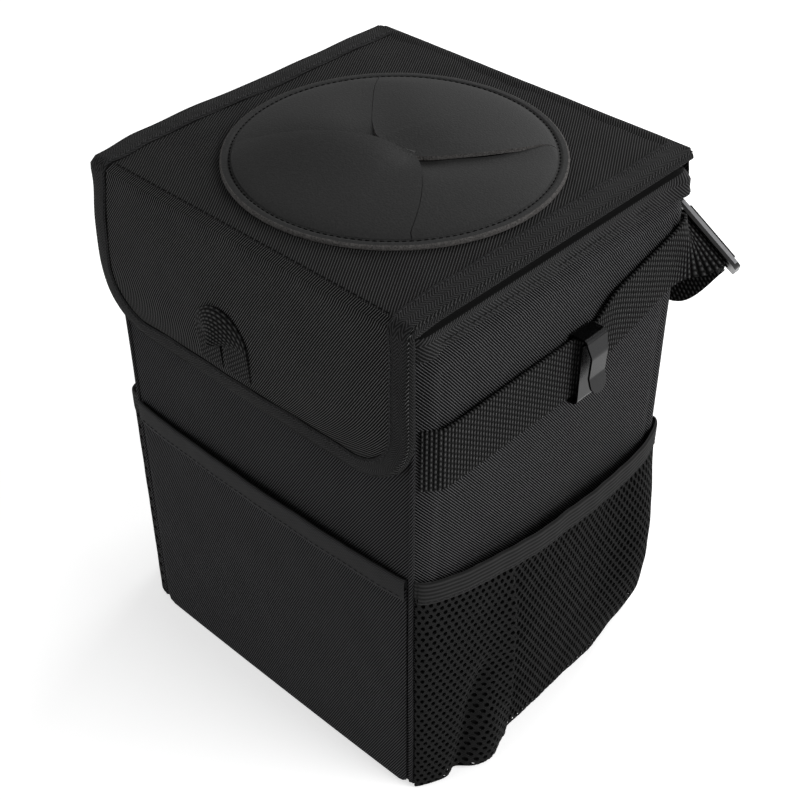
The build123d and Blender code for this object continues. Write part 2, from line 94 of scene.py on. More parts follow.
# Lid and flap: middle of the sheet, fold at the lid's front edge
LID_MIDDLE = (LID_LOW + LID_TOP) / 2
LID_HALF_THICK = (LID_TOP - LID_LOW) / 2
FLAP_MIDDLE = (FLAP_IN + FLAP_OUT) / 2
FLAP_HALF_THICK = (FLAP_IN - FLAP_OUT) / 2
FOLD_RADIUS = 2.1
FOLD_Y = FLAP_MIDDLE + FOLD_RADIUS
FOLD_Z = LID_MIDDLE - FOLD_RADIUS
LID_RUN = LID_BACK - FOLD_Y
FOLD_RUN = FOLD_RADIUS * math.pi / 2
FLAP_RUN = FOLD_Z - FLAP_LOW
SHEET_RUN = LID_RUN + FOLD_RUN + FLAP_RUN
FLAP_CORNER = 30.0
TAPE_WIDTH = 12.0

# Disc: hole below it, its centre, the flange's outer edge and top, and the dome
HOLE_RADIUS = 64.0
DISC_X, DISC_Y = 2.0, DISC_CENTRE_Y + 0.3
RIM_RADIUS = 72.2
FLANGE_TOP = DISC_LOW.z + 2.2
DOME_RADIUS = 67.3
DOME_RISE = 8.2

# Straps, and the slide with its centre, turns, half its width and the depth of the painted highlight on its
# long edges
STRAP_Z = 200.0
STRAP_WIDTH = 30.0
WEBBING_THICK = 1.4
STRAP_X = 95.55
LEFT_STRAP_X = 91.4
SLIDE_CENTRE = np.array([93.5, 101.0, 217.5])
SLIDE_TURN = math.radians(31.6)
SLIDE_LEAN = math.radians(-47.8)
SLIDE_HALF = 12.0
HIGHLIGHT_DEPTH = 0.15

# Directions square to the twill's ribs on the cloth: along it and up it
FRONT_SLANT = (0.845, -0.535)
POCKET_SLANT = (0.892, -0.452)
SIDE_SLANT = (0.79, 0.613)
FLAP_SLANT = (0.852, -0.523)
LID_SLANT = (0.856, 0.517)


def length_setting(name, description, default):
    """A length that the panel shows, in millimetres."""
    return FloatProperty(name=name, description=description, default=default)


def colour_setting(name, description, default):
    """A colour that the panel shows."""
    return FloatVectorProperty(name=name, description=description, subtype="COLOR", size=3, default=default)


class BinSizes(bpy.types.PropertyGroup):
    """Sizes of the weaves, stitches and soft forms, in millimetres."""

    front_twill: length_setting("Front twill", "Pitch of the front's diagonal ribs", 1.0)
    side_twill: length_setting("Side twill", "Pitch of the sides' diagonal ribs", 0.99)
    flap_twill: length_setting("Flap twill", "Pitch of the flap's diagonal ribs", 0.958)
    lid_twill: length_setting("Lid twill", "Pitch of the lid's diagonal ribs", 1.085)
    weft: length_setting("Weft", "Length of one yarn float along a rib", 1.2)
    tape: length_setting("Tape", "Width of one herringbone in the edge tape", 2.6)
    webbing: length_setting("Webbing", "Pitch of the straps' cross ribs", 1.80)
    webbing_row: length_setting("Webbing row", "Pitch of the straps' rows", 2.6)
    loop_webbing: length_setting("Loop webbing", "Pitch of the pull loop's ribs", 1.33)
    elastic: length_setting("Elastic", "Pitch of the elastic's lengthwise ribs", 2.3)
    satin: length_setting("Satin", "Pitch of the pocket tape's fine ribs", 0.9)
    net: length_setting("Net", "Distance between holes of the net", 3.7)
    net_hole: length_setting("Net hole", "Width of a hole of the net", 2.2)
    stitch: length_setting("Stitch", "Length of one stitch", 2.2)
    stitch_gap: length_setting("Stitch gap", "Gap between two stitches", 1.0)
    thread: length_setting("Thread", "Radius of the sewing thread", 0.27)
    petal_lift: length_setting("Petal lift", "Rise of the front petal's edge", 5.0)


class BinColours(bpy.types.PropertyGroup):
    """Colours, as they are written on the shaders."""

    # Front, side, flap and lid are one black twill; their different colours are painted light and shade for
    # how the lamps fall on each face, darkest on the lid
    front: colour_setting("Front", "Front, pocket and back", (0.0225, 0.0225, 0.0235))
    side: colour_setting("Side", "Side panels", (0.029, 0.029, 0.030))
    flap: colour_setting("Flap", "Flap", (0.029, 0.029, 0.029))
    lid: colour_setting("Lid", "Lid", (0.0185, 0.0185, 0.0185))
    tape: colour_setting("Tape", "Edge tapes", (0.0118, 0.0118, 0.012))
    webbing: colour_setting("Webbing", "Straps and pull loop", (0.0195, 0.0195, 0.0195))
    satin: colour_setting("Satin", "Front pocket's tape", (0.024, 0.024, 0.0245))
    elastic: colour_setting("Elastic", "Pockets' elastic", (0.021, 0.021, 0.021))
    net: colour_setting("Net", "Mesh pockets", (0.0125, 0.0125, 0.0125))
    # Painted shade: a near-black sheet inside the net pockets stands in for the shade there
    net_back: colour_setting("Net back", "Painted shade inside the net pockets", (0.007, 0.007, 0.007))
    lining: colour_setting("Lining", "Liner and linings", (0.035, 0.035, 0.036))
    rubber: colour_setting("Rubber", "Disc and petals", (0.026, 0.026, 0.026))
    cut_edge: colour_setting("Cut edge", "Raw cut edges of the disc", (0.075, 0.072, 0.070))
    plastic: colour_setting("Plastic", "Strap slide", (0.014, 0.014, 0.014))
    # Painted highlight along the slide's long outer edges
    edge_highlight: colour_setting("Edge highlight", "Painted highlight on the slide's long edges", (0.36, 0.36, 0.37))
    steel: colour_setting("Steel", "Spring clip", (0.022, 0.022, 0.0225))
    thread: colour_setting("Thread", "Stitches", (0.030, 0.030, 0.031))
    # Painted shade: near black for sunk stitches, the rim tape's top under the lid and the edge tape's inner
    # riser
    dark_thread: colour_setting("Dark thread", "Painted shade on sunk stitches and shaded strips", (0.004, 0.004, 0.004))
    board: colour_setting("Board", "Stiffening boards", (0.16, 0.155, 0.145))


# Materials by name, strength of their bump, and how far a twill's rib dips between its floats
MATERIALS = {}
BUMP_STRENGTH = 0.9
YARN_DIP = 0.2


def maths(tree, operation, first, second=None):
    """A Math node; each input is a socket or a number."""
    node = tree.nodes.new("ShaderNodeMath")
    node.operation = operation
    for socket, value in zip(node.inputs, (first, second)):
        if value is None:
            continue
        if isinstance(value, (int, float)):
            socket.default_value = value
        else:
            tree.links.new(value, socket)
    return node.outputs[0]


def wave(tree, value, pitch):
    """A sine from 0 to 1 with that pitch."""
    turned = maths(tree, "SINE", maths(tree, "MULTIPLY", value, 2 * math.pi / pitch))
    return maths(tree, "MULTIPLY", maths(tree, "ADD", turned, 1.0), 0.5)


def start_material(name, roughness, sheen=0.0, metallic=0.0, specular=0.5):
    """Keeps a new material by its name; gives its tree, shader, place and the cloth's millimetre axes."""
    material = bpy.data.materials.new(name)
    MATERIALS[name] = material
    material.use_nodes = True
    tree = material.node_tree
    shader = tree.nodes["Principled BSDF"]
    shader.inputs["Roughness"].default_value = roughness
    shader.inputs["Sheen Weight"].default_value = sheen
    shader.inputs["Metallic"].default_value = metallic
    shader.inputs["Specular IOR Level"].default_value = specular
    place = tree.nodes.new("ShaderNodeTexCoord")
    axes = tree.nodes.new("ShaderNodeSeparateXYZ")
    tree.links.new(place.outputs["UV"], axes.inputs[0])
    return tree, shader, place, axes.outputs[0], axes.outputs[1]


def noise(tree, place, scale, detail=2.0):
    """Noise from 0 to 1 over the object's own metres."""
    node = tree.nodes.new("ShaderNodeTexNoise")
    node.inputs["Scale"].default_value = scale
    node.inputs["Detail"].default_value = detail
    tree.links.new(place.outputs["Object"], node.inputs["Vector"])
    return node.outputs["Fac"]


def shade(colour, factor):
    """The colour made lighter or darker."""
    return tuple(min(1.0, part * factor) for part in colour)


def surface(tree, shader, height, colour, dark, light, relief):
    """Bump, and a colour between its dark and its light multiple, from a height between 0 and 1."""
    ramp = tree.nodes.new("ShaderNodeValToRGB")
    ramp.color_ramp.elements[0].color = (*shade(colour, dark), 1.0)
    ramp.color_ramp.elements[1].color = (*shade(colour, light), 1.0)
    tree.links.new(height, ramp.inputs[0])
    tree.links.new(ramp.outputs[0], shader.inputs["Base Color"])
    bump = tree.nodes.new("ShaderNodeBump")
    bump.inputs["Distance"].default_value = relief * MM
    bump.inputs["Strength"].default_value = BUMP_STRENGTH
    tree.links.new(height, bump.inputs["Height"])
    tree.links.new(bump.outputs[0], shader.inputs["Normal"])


def uneven(tree, place, height, scale, amount):
    """The height with slow unevenness mixed in."""
    patch = maths(tree, "MULTIPLY", maths(tree, "SUBTRACT", noise(tree, place, scale), 0.5), amount)
    return maths(tree, "ADD", height, patch)


def rib_mean(sharp):
    """Mean height of ribs that are a sine from 0 to 1, raised to that power."""
    return math.gamma(sharp + 0.5) / math.gamma(sharp + 1) / math.sqrt(math.pi)


def twill_material(name, colour, pitch, across, weft, contrast, sharp):
    """Diagonal ribs of twill, each rib made of short yarn floats; across is square to the ribs."""
    peak = 1 / ((1 - YARN_DIP / 2) * rib_mean(sharp))
    tree, shader, place, u, v = start_material(name, 0.9, specular=0.06)
    slant = maths(tree, "ADD", maths(tree, "MULTIPLY", u, across[0]), maths(tree, "MULTIPLY", v, across[1]))
    ribs = maths(tree, "POWER", wave(tree, slant, pitch), sharp)
    floats = maths(tree, "ADD", maths(tree, "MULTIPLY", wave(tree, v, weft), YARN_DIP), 1 - YARN_DIP)
    height = maths(tree, "MULTIPLY", ribs, floats)
    height = uneven(tree, place, height, 1100.0, 0.08)
    height = uneven(tree, place, height, 45.0, 0.08)
    surface(tree, shader, height, colour, 1 - contrast, 1 + (peak - 1) * contrast, relief=0.25)


def herringbone_material(name, colour, width, contrast, pitch):
    """Herringbone of a woven edge tape; u runs along the tape."""
    tree, shader, place, u, v = start_material(name, 0.85, specular=0.1)
    zigzag = maths(tree, "PINGPONG", v, width)
    ribs = maths(tree, "POWER", wave(tree, maths(tree, "ADD", u, zigzag), pitch), 2.0)
    height = uneven(tree, place, ribs, 1300.0, 0.25)
    height = uneven(tree, place, height, 70.0, 0.15)
    surface(tree, shader, height, colour, 1 - contrast, 1 + 1.7 * contrast, relief=0.22)


def ribbed_material(name, colour, along, across, contrast, roughness, relief, broken=0.9, sharp=1.5):
    """Ribs along v, broken along u like bricks: webbing, elastic and satin tape."""
    tree, shader, place, u, v = start_material(name, roughness, specular=0.04)
    ribs = maths(tree, "POWER", wave(tree, v, along), sharp)
    step = maths(tree, "ROUND", maths(tree, "DIVIDE", v, along))
    shifted = maths(tree, "ADD", u, maths(tree, "MULTIPLY", step, across * 0.5))
    breaks = maths(tree, "ADD", maths(tree, "MULTIPLY", wave(tree, shifted, across), broken), 1 - broken)
    peak = 1 / (rib_mean(sharp) * (1 - broken / 2))
    height = maths(tree, "MULTIPLY", ribs, breaks)
    height = uneven(tree, place, height, 1200.0, 0.15)
    surface(tree, shader, height, colour, 1 - contrast, 1 + (peak - 1) * contrast, relief)


def grain_material(name, colour, scale, contrast, roughness, relief, specular=0.4):
    """Fine leather-like grain of moulded rubber, film or plastic."""
    tree, shader, place, *_ = start_material(name, roughness, specular=specular)
    cells = tree.nodes.new("ShaderNodeTexVoronoi")
    cells.feature = "SMOOTH_F1"
    cells.inputs["Scale"].default_value = scale
    tree.links.new(place.outputs["Object"], cells.inputs["Vector"])
    height = uneven(tree, place, cells.outputs["Distance"], scale * 0.6, 0.5)
    height = uneven(tree, place, height, 40.0, 0.15)
    surface(tree, shader, height, colour, 1 - contrast, 1 + contrast, relief)


def fuzz_material(name, colour, scale):
    """Pile of the closure tapes."""
    tree, shader, place, *_ = start_material(name, 0.95, sheen=0.15, specular=0.05)
    height = uneven(tree, place, noise(tree, place, scale, 4.0), scale * 0.4, 0.6)
    surface(tree, shader, height, colour, 0.3, 1.7, relief=0.8)


def steel_material(name, colour):
    """Dark glossy spring steel with faint drawing lines."""
    tree, shader, place, *_ = start_material(name, 0.24, metallic=1.0)
    stretched = tree.nodes.new("ShaderNodeMapping")
    stretched.inputs["Scale"].default_value = (1.0, 40.0, 1.0)
    tree.links.new(place.outputs["Object"], stretched.inputs["Vector"])
    lines = tree.nodes.new("ShaderNodeTexNoise")
    lines.inputs["Scale"].default_value = 120.0
    tree.links.new(stretched.outputs[0], lines.inputs["Vector"])
    surface(tree, shader, lines.outputs["Fac"], colour, 0.8, 1.2, relief=0.02)


def along_slide(tree, place, axis):
    """A point's place along one of the slide's directions, and the slide's middle there, in metres."""
    node = tree.nodes.new("ShaderNodeVectorMath")
    node.operation = "DOT_PRODUCT"
    node.inputs[1].default_value = axis
    tree.links.new(place.outputs["Object"], node.inputs[0])
    return node.outputs["Value"], float(np.dot(SLIDE_CENTRE, axis)) * MM


def slide_material(name, colour, edge):
    """Grained plastic with a painted highlight, a pale colour, along its long outer edges."""
    grain_material(name, colour, 2200.0, 0.2, 0.35, 0.02, 0.3)
    tree = MATERIALS[name].node_tree
    shader = tree.nodes["Principled BSDF"]
    grain = shader.inputs["Base Color"].links[0].from_socket
    place = tree.nodes.new("ShaderNodeTexCoord")
    _, across, out = slide_axes()
    reach = maths(tree, "ABSOLUTE", maths(tree, "SUBTRACT", *along_slide(tree, place, across)))
    # Painted highlight: a pale colour on the outer half of both long edges, where a gloss would shine
    long_edge = maths(tree, "GREATER_THAN", reach, (SLIDE_HALF - HIGHLIGHT_DEPTH) * MM)
    outer_half = maths(tree, "GREATER_THAN", *along_slide(tree, place, out))
    highlight_on = maths(tree, "MULTIPLY", long_edge, outer_half)
    mix = tree.nodes.new("ShaderNodeMix")
    mix.data_type = "RGBA"
    tree.links.new(highlight_on, mix.inputs["Factor"])
    tree.links.new(grain, mix.inputs["A"])
    mix.inputs["B"].default_value = (*edge, 1.0)
    tree.links.new(mix.outputs["Result"], shader.inputs["Base Color"])


def make_materials(sizes, colours):
    """Every material of the bin, by name."""
    # Pitch, direction square to the ribs, contrast and sharpness
    for name, colour, pitch, across, contrast, sharp in (
            ("front_twill", colours.front, sizes.front_twill, FRONT_SLANT, 0.9, 3.0),
            ("pocket_twill", colours.front, sizes.front_twill, POCKET_SLANT, 0.9, 3.0),
            ("side_twill", colours.side, sizes.side_twill, SIDE_SLANT, 0.99, 4.0),
            ("flap_twill", colours.flap, sizes.flap_twill, FLAP_SLANT, 0.99, 6.0),
            ("lid_twill", colours.lid, sizes.lid_twill, LID_SLANT, 0.9, 2.5)):
        twill_material(name, colour, pitch, across, sizes.weft, contrast, sharp)
    herringbone_material("tape", colours.tape, sizes.tape, contrast=0.9, pitch=sizes.tape * 0.55)
    herringbone_material("rim_tape", shade(colours.tape, 1.6), width=7.5, contrast=0.9, pitch=1.6)
    # Pitch of the ribs and of their breaks, contrast, roughness, relief, share broken and sharpness
    for name, colour, *numbers in (
            ("webbing", colours.webbing, sizes.webbing, sizes.webbing_row, 0.97, 0.9, 0.5, 0.88, 1.7),
            ("loop_webbing", colours.webbing, sizes.loop_webbing, sizes.loop_webbing * 1.6, 0.9, 0.85, 0.3),
            ("elastic", colours.elastic, sizes.elastic, sizes.elastic * 6.0, 0.4, 0.8, 0.2, 0.1),
            ("satin", colours.satin, sizes.satin, sizes.satin * 4.0, 0.4, 0.7, 0.1, 0.3),
            ("net", colours.net, 0.6, 1.2, 0.4, 0.8, 0.06),
            ("thread", colours.thread, 0.5, 0.5, 0.3, 0.8, 0.03),
            # The next two are painted shade, not cloth colours: shaded strips and sunk stitches, and the
            # shade inside the net pockets
            ("dark_thread", colours.dark_thread, 0.5, 0.5, 0.3, 0.8, 0.03),
            ("net_back", colours.net_back, 0.6, 1.2, 0.5, 0.9, 0.05)):
        ribbed_material(name, colour, *numbers)
    # Cells to a metre, contrast, roughness, relief and specular level
    for name, colour, *numbers in (
            ("lining", colours.lining, 1500.0, 0.3, 0.5, 0.05, 0.2),
            ("rubber", colours.rubber, 1400.0, 0.22, 0.75, 0.12, 0.08),
            ("cut_edge", colours.cut_edge, 1800.0, 0.7, 0.9, 0.2, 0.05),
            ("board", colours.board, 700.0, 0.2, 0.9, 0.05)):
        grain_material(name, colour, *numbers)
    slide_material("plastic", colours.plastic, colours.edge_highlight)
    fuzz_material("loop_pile", colours.tape, scale=900.0)
    fuzz_material("hook_pile", colours.tape, scale=1500.0)
    steel_material("steel", colours.steel)


# Ways of making a piece

def clear_selection():
    """Object mode with nothing selected."""
    if bpy.context.object and bpy.context.object.mode != "OBJECT":
        bpy.ops.object.mode_set(mode="OBJECT")
    bpy.ops.object.select_all(action="DESELECT")


def pick(piece):
    """The piece alone, selected and active."""
    clear_selection()
    bpy.context.view_layer.objects.active = piece
    piece.select_set(True)


def modify(piece, kind, **settings):
    """One modifier on the piece, applied at once."""
    pick(piece)
    change = piece.modifiers.new(kind.title(), kind)
    for key, value in settings.items():
        setattr(change, key, value)
    bpy.ops.object.modifier_apply(modifier=change.name)


def smooth(piece, angle):
    """Smooth shading, but for edges sharper than the angle in degrees."""
    pick(piece)
    bpy.ops.object.shade_smooth_by_angle(angle=math.radians(angle))


def weld(piece):
    """Joins points that lie on each other."""
    modify(piece, "WELD", merge_threshold=0.01 * MM)


def cloth(name, cells, flat, shape, thickness=0.0, sharp=55.0):
    """A grid whose points go where shape(u, v) says, in millimetres; flat is its cut size and its UV."""
    clear_selection()
    bpy.ops.mesh.primitive_grid_add(x_subdivisions=cells[0], y_subdivisions=cells[1], size=1.0)
    piece = bpy.context.object
    piece.name = name
    mesh = piece.data
    mesh.name = name
    place = np.empty(len(mesh.vertices) * 3)
    mesh.vertices.foreach_get("co", place)
    place = place.reshape(-1, 3)
    u, v = place[:, 0] + 0.5, place[:, 1] + 0.5
    points = np.stack(np.broadcast_arrays(*shape(u, v)), axis=1) * MM
    mesh.vertices.foreach_set("co", points.ravel())
    corner = np.empty(len(mesh.loops), dtype=np.int32)
    mesh.loops.foreach_get("vertex_index", corner)
    weave = np.stack([u[corner] * flat[0], v[corner] * flat[1]], axis=1)
    mesh.uv_layers.active.data.foreach_set("uv", weave.ravel())
    mesh.update()
    if thickness:
        modify(piece, "SOLIDIFY", thickness=thickness * MM, offset=-1.0)
    smooth(piece, sharp)
    return piece


def mesh_piece(name, points, faces):
    """A picked mesh of points in millimetres and faces, with an empty UV map."""
    mesh = bpy.data.meshes.new(name)
    mesh.from_pydata((np.asarray(points) * MM).tolist(), [], faces)
    mesh.uv_layers.new(name="UVMap")
    piece = bpy.data.objects.new(name, mesh)
    bpy.context.scene.collection.objects.link(piece)
    pick(piece)
    return piece


def dress(piece, material, body=None, nodes=()):
    """Material, the body it moves with, and the solids it stands for, which it hides."""
    piece.data.materials.clear()
    piece.data.materials.append(MATERIALS[material])
    if body:
        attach(piece, body)
    if nodes:
        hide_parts(*nodes)
    return piece


def second_material(piece, material, wanted):
    """Another material on the faces that pass the test."""
    piece.data.materials.append(MATERIALS[material])
    index = len(piece.data.materials) - 1
    for face in piece.data.polygons:
        if wanted(face):
            face.material_index = index


def across_weave(piece, face):
    """Mean of the face's second UV, in millimetres."""
    layer = piece.data.uv_layers.active.data
    return sum(layer[k].uv.y for k in face.loop_indices) / face.loop_total


def sheet(piece, area=None):
    area = None if area is None else area * MM * MM
    return piece


def ripple(a, b, step, seed):
    """Gentle uneven swell between -1 and 1, the same on every run."""
    turn = 2 * math.pi / step
    first = np.sin(turn * a + 1.7 * seed) * np.cos(0.8 * turn * b + 2.3 * seed)
    second = 0.6 * np.sin(1.9 * turn * b - 0.7 * turn * a + 0.9 * seed)
    third = 0.4 * np.cos(2.7 * turn * a + 1.3 * turn * b + 3.1 * seed)
    return (first + second + third) / 2.0


def ease(value, low, high):
    """0 below low, 1 above high, smooth between."""
    share = np.clip((value - low) / (high - low), 0.0, 1.0)
    return share * share * (3 - 2 * share)


def bell(offset, width):
    """1 where the offset is nought, falling away smoothly over that width."""
    return np.exp(-(offset / width) ** 2)


def smooth_line(points, count):
    """Count points evenly along a smooth curve through the points given."""
    points = np.asarray(points, float)
    ends = np.vstack([2 * points[0] - points[1], points, 2 * points[-1] - points[-2]])
    fine = []
    for a, b, c, d in zip(ends, ends[1:], ends[2:], ends[3:]):
        for t in np.linspace(0.0, 1.0, 24, endpoint=False):
            fine.append(0.5 * (2 * b + (c - a) * t + (2 * a - 5 * b + 4 * c - d) * t ** 2
                               + (3 * b - a - 3 * c + d) * t ** 3))
    fine.append(points[-1])
    return even_line(fine, count)


def steps_along(points):
    """Distances from each point of a chain to the next; columns after the third only go along."""
    return np.linalg.norm(np.diff(points[:, :3], axis=0), axis=1)


def even_line(points, count):
    """Count points at even steps along a chain of points."""
    points = np.asarray(points, float)
    run = np.concatenate([[0.0], np.cumsum(steps_along(points))])
    want = np.linspace(0.0, run[-1], count)
    return np.stack([np.interp(want, run, column) for column in points.T], axis=1)


def line_length(points):
    """Length of a chain of points."""
    return float(steps_along(points).sum())


def at(table, share):
    """Rows of a table at shares from 0 to 1 of its length."""
    rows = np.arange(len(table))
    index = share * (len(table) - 1)
    return np.stack([np.interp(index, rows, column) for column in table.T], axis=1)


def share_near(values, wanted, hidden):
    """Share of a section where its value is nearest to the one wanted, leaving out the hidden places."""
    return np.argmin(np.where(hidden, np.inf, np.abs(values - wanted))) / (len(values) - 1)


def span(share, half):
    """From minus half at 0 to half at 1."""
    return (share - 0.5) * 2 * half


def unit(vectors):
    """Vectors of length one."""
    return vectors / np.maximum(np.linalg.norm(vectors, axis=-1, keepdims=True), 1e-9)


def ribbon(name, line, across, width, thickness, step=2.0):
    """A flat band along a line; across says where its width points at each place."""
    length = line_length(line)
    cells = (10, max(8, int(length / step)))
    lean = unit(across)

    def shape(u, v):
        middle = at(line, v)
        side = at(lean, v)
        point = middle + side * ((u - 0.5) * width)[:, None]
        return point[:, 0], point[:, 1], point[:, 2]

    piece = cloth(name, cells, (width, length), shape)
    modify(piece, "SOLIDIFY", thickness=thickness * MM, offset=0.0)
    modify(piece, "BEVEL", width=0.3 * MM, segments=2, limit_method="ANGLE", angle_limit=math.radians(50))
    smooth(piece, 60.0)
    return piece, length


# One stitch: share of its length, share of the thread's radius and rise there, and sides of the thread
STITCH_PROFILE = ((0.0, 0.35, -0.3), (0.18, 1.0, 0.25), (0.82, 1.0, 0.25), (1.0, 0.35, -0.3))
THREAD_SIDES = 6


def stitches(name, line, lift, sizes, body=None, length=None, thread="thread"):
    """A row of stitches along a line; lift is the cloth's normal, one for all or one at each point."""
    length = length or sizes.stitch
    total = line_length(line)
    count = max(1, int(total / (length + sizes.stitch_gap)))
    half = 0.5 * length / total
    radius = sizes.thread
    sides = THREAD_SIDES
    ring = [(math.cos(t), math.sin(t)) for t in np.linspace(0, 2 * math.pi, sides, endpoint=False)]
    last = (len(STITCH_PROFILE) - 1) * sides
    points, faces = [], []
    table = np.hstack([line, unit(np.broadcast_to(np.asarray(lift, float), line.shape))])
    for k in range(count):
        here = at(table, np.array([(k + 0.5) / count - half, (k + 0.5) / count + half]))
        start, end = here[0, :3], here[1, :3]
        normal = unit(here[0, 3:] + here[1, 3:])
        side = np.cross(normal, unit(end - start))
        base = len(points)
        for share, size, up in STITCH_PROFILE:
            centre = start + (end - start) * share + normal * radius * up
            points += [centre + (side * c + normal * s) * radius * size for c, s in ring]
        for a in range(base, base + last, sides):
            for i in range(sides):
                j = (i + 1) % sides
                faces.append((a + i, a + j, a + sides + j, a + sides + i))
        faces.append(tuple(base + i for i in reversed(range(sides))))
        faces.append(tuple(base + last + i for i in range(sides)))
    piece = mesh_piece(name, points, faces)
    bpy.ops.object.shade_smooth()
    return dress(piece, thread, body)


def cut_disc(piece, radius):
    """A round hole through the lid's sheets under the disc."""
    clear_selection()
    bpy.ops.mesh.primitive_cylinder_add(vertices=96, radius=radius * MM, depth=0.03,
                                        location=(0.0, DISC_CENTRE_Y * MM, LID_MIDDLE * MM))
    cutter = bpy.context.object
    modify(piece, "BOOLEAN", operation="DIFFERENCE", object=cutter, solver="EXACT")
    bpy.data.objects.remove(cutter)


# Body: how far the walls' cloth stays from the side edges and the floor, its thickness, and the corner welts
WALL_EDGE = 0.6
WALL_FOOT = 0.1
PANEL_THICK = 1.4
WELT_RADIUS = 1.25


def drawn_in(z):
    """How far the walls' cloth draws in under the rim's roll."""
    return 1.9 * ease(z, RIM_TOP - 5.0, RIM_TOP - 2.8)


def rounded_inset(a, b, half, low, high, radius):
    """How far a point is inside a rectangle with rounded corners."""
    to_side = half - np.abs(a)
    to_end = np.minimum(b - low, high - b)
    corner = radius - np.hypot(np.maximum(radius - to_side, 0), np.maximum(radius - to_end, 0))
    return np.where((to_side < radius) & (to_end < radius), corner, np.minimum(to_side, to_end))


def wall_shape(face, bow, seed):
    """Front or back panel: face is -1 for the front and 1 for the back."""

    def shape(u, v):
        x = span(u, HALF_WIDTH - WALL_EDGE)
        z = WALL_FOOT + v * (WALL_TOP - WALL_FOOT)
        inset = rounded_inset(x, z, HALF_WIDTH - WALL_EDGE, WALL_FOOT, WALL_TOP + 60, radius=4.0)
        edge = np.clip(2.2 - inset, 0, 6)
        out = HALF_DEPTH + bow * (1 - (x / HALF_WIDTH) ** 2) * np.sin(np.pi * np.clip(v, 0, 1)) ** 0.5
        out = out - 0.22 * edge ** 2 + 0.25 * ripple(x, z, 90.0, seed) * ease(inset, 2.0, 14.0)
        out = out - drawn_in(z)
        corner = np.clip(-inset, 0, None)
        return -face * (x - np.sign(x) * corner * 0.7), face * out, z + 0.7 * corner

    return shape


def side_shape(face, seed):
    """Side panel, slightly padded, with a rounded bevel beside its seams."""
    half = HALF_DEPTH - 2.4

    def shape(u, v):
        y = span(u, HALF_DEPTH - 0.5)
        z = 0.8 + v * (WALL_TOP - 0.8)
        inset = rounded_inset(y, z, half, 1.0, RIM_LOW - 0.4, radius=8.0)
        rise = np.clip(inset / 9.0, 0.0, 1.0)
        pad = SIDE_FACE - HALF_WIDTH
        if face < 0:
            pad = 0.4 + (pad - 0.4) * ease(z, 150.0, 110.0)
        x = HALF_WIDTH + pad * np.sqrt(1 - (1 - rise) ** 2)
        x = x + 0.3 * ripple(y, z, 80.0, seed) * rise - 1.1 * bell(inset - 8.6, 1.5)
        x = x - 0.5 * np.clip(np.abs(y) - half, 0, 3) - drawn_in(z)
        return face * x, face * y, z

    return shape


class BIN_OT_body(bpy.types.Operator):
    """Cloth panels of the body, with the welts at the front corners."""

    bl_idname = "bin.body"
    bl_label = "Body panels"

    def execute(self, context):
        for side, name in ((1, "right"), (-1, "left")):
            z = np.linspace(3.0, RIM_LOW + 4, 60)
            line = np.stack([np.full(60, side * (HALF_WIDTH - 1.6)) + 0.2 * np.sin(z / 23.0),
                             np.full(60, -HALF_DEPTH + 0.1) + 0.15 * np.sin(z / 17.0 + side), z], axis=1)

            def welt(u, v):
                middle = at(line, v)
                angle = 2 * math.pi * u
                x = middle[:, 0] + WELT_RADIUS * np.cos(angle)
                return x, middle[:, 1] + WELT_RADIUS * np.sin(angle), middle[:, 2]

            piece = cloth(name + "_corner_welt", (14, 90), (8.0, line_length(line)), welt)
            weld(piece)
            dress(piece, "front_twill", "bin")
        for name, face, seed in (("front_panel", -1, 1), ("back_panel", 1, 4)):
            flat = (2 * HALF_WIDTH, WALL_TOP)
            piece = cloth(name + "_cloth", (72, 104), flat, wall_shape(face, 0.7, seed), PANEL_THICK)
            dress(piece, "front_twill", "bin", [name])
            sheet(piece)
        for name, face, seed in (("right_panel", 1, 2), ("left_panel", -1, 3)):
            flat = (2 * HALF_DEPTH, WALL_TOP)
            piece = cloth(name + "_cloth", (84, 120), flat, side_shape(face, seed), PANEL_THICK)
            dress(piece, "side_twill", "bin", [name])
        flat = (2 * HALF_WIDTH, 2 * HALF_DEPTH)

        def bottom(u, v):
            half_x, half_y = HALF_WIDTH - 0.8, HALF_DEPTH - 0.8
            x = span(u, half_x)
            y = -span(v, half_y)
            edge = np.clip(2.5 - np.minimum(half_x - np.abs(x), half_y - np.abs(y)), 0, 3)
            return x, y, WALL_FOOT + 0.18 * edge ** 2

        piece = cloth("bottom_panel_cloth", (40, 40), flat, bottom, thickness=1.2)
        dress(piece, "front_twill", "bin", ["bottom_panel"])
        sheet(piece)
        return {"FINISHED"}


def ring_line(half_x, half_y, radius, count):
    """Rounded rectangle from the middle of the back, anticlockwise from above: place and outward normal."""
    middle = (0.0, half_y, 0.0, 0.0, 1.0)
    rows = [middle]
    for sx, sy, start in ((-1, 1, 90), (-1, -1, 180), (1, -1, 270), (1, 1, 0)):
        x, y = sx * (half_x - radius), sy * (half_y - radius)
        for turn in np.linspace(start, start + 90, 9):
            c, s = math.cos(math.radians(turn)), math.sin(math.radians(turn))
            rows.append((x + radius * c, y + radius * s, 0.0, c, s))
    return even_line(rows + [middle], count)


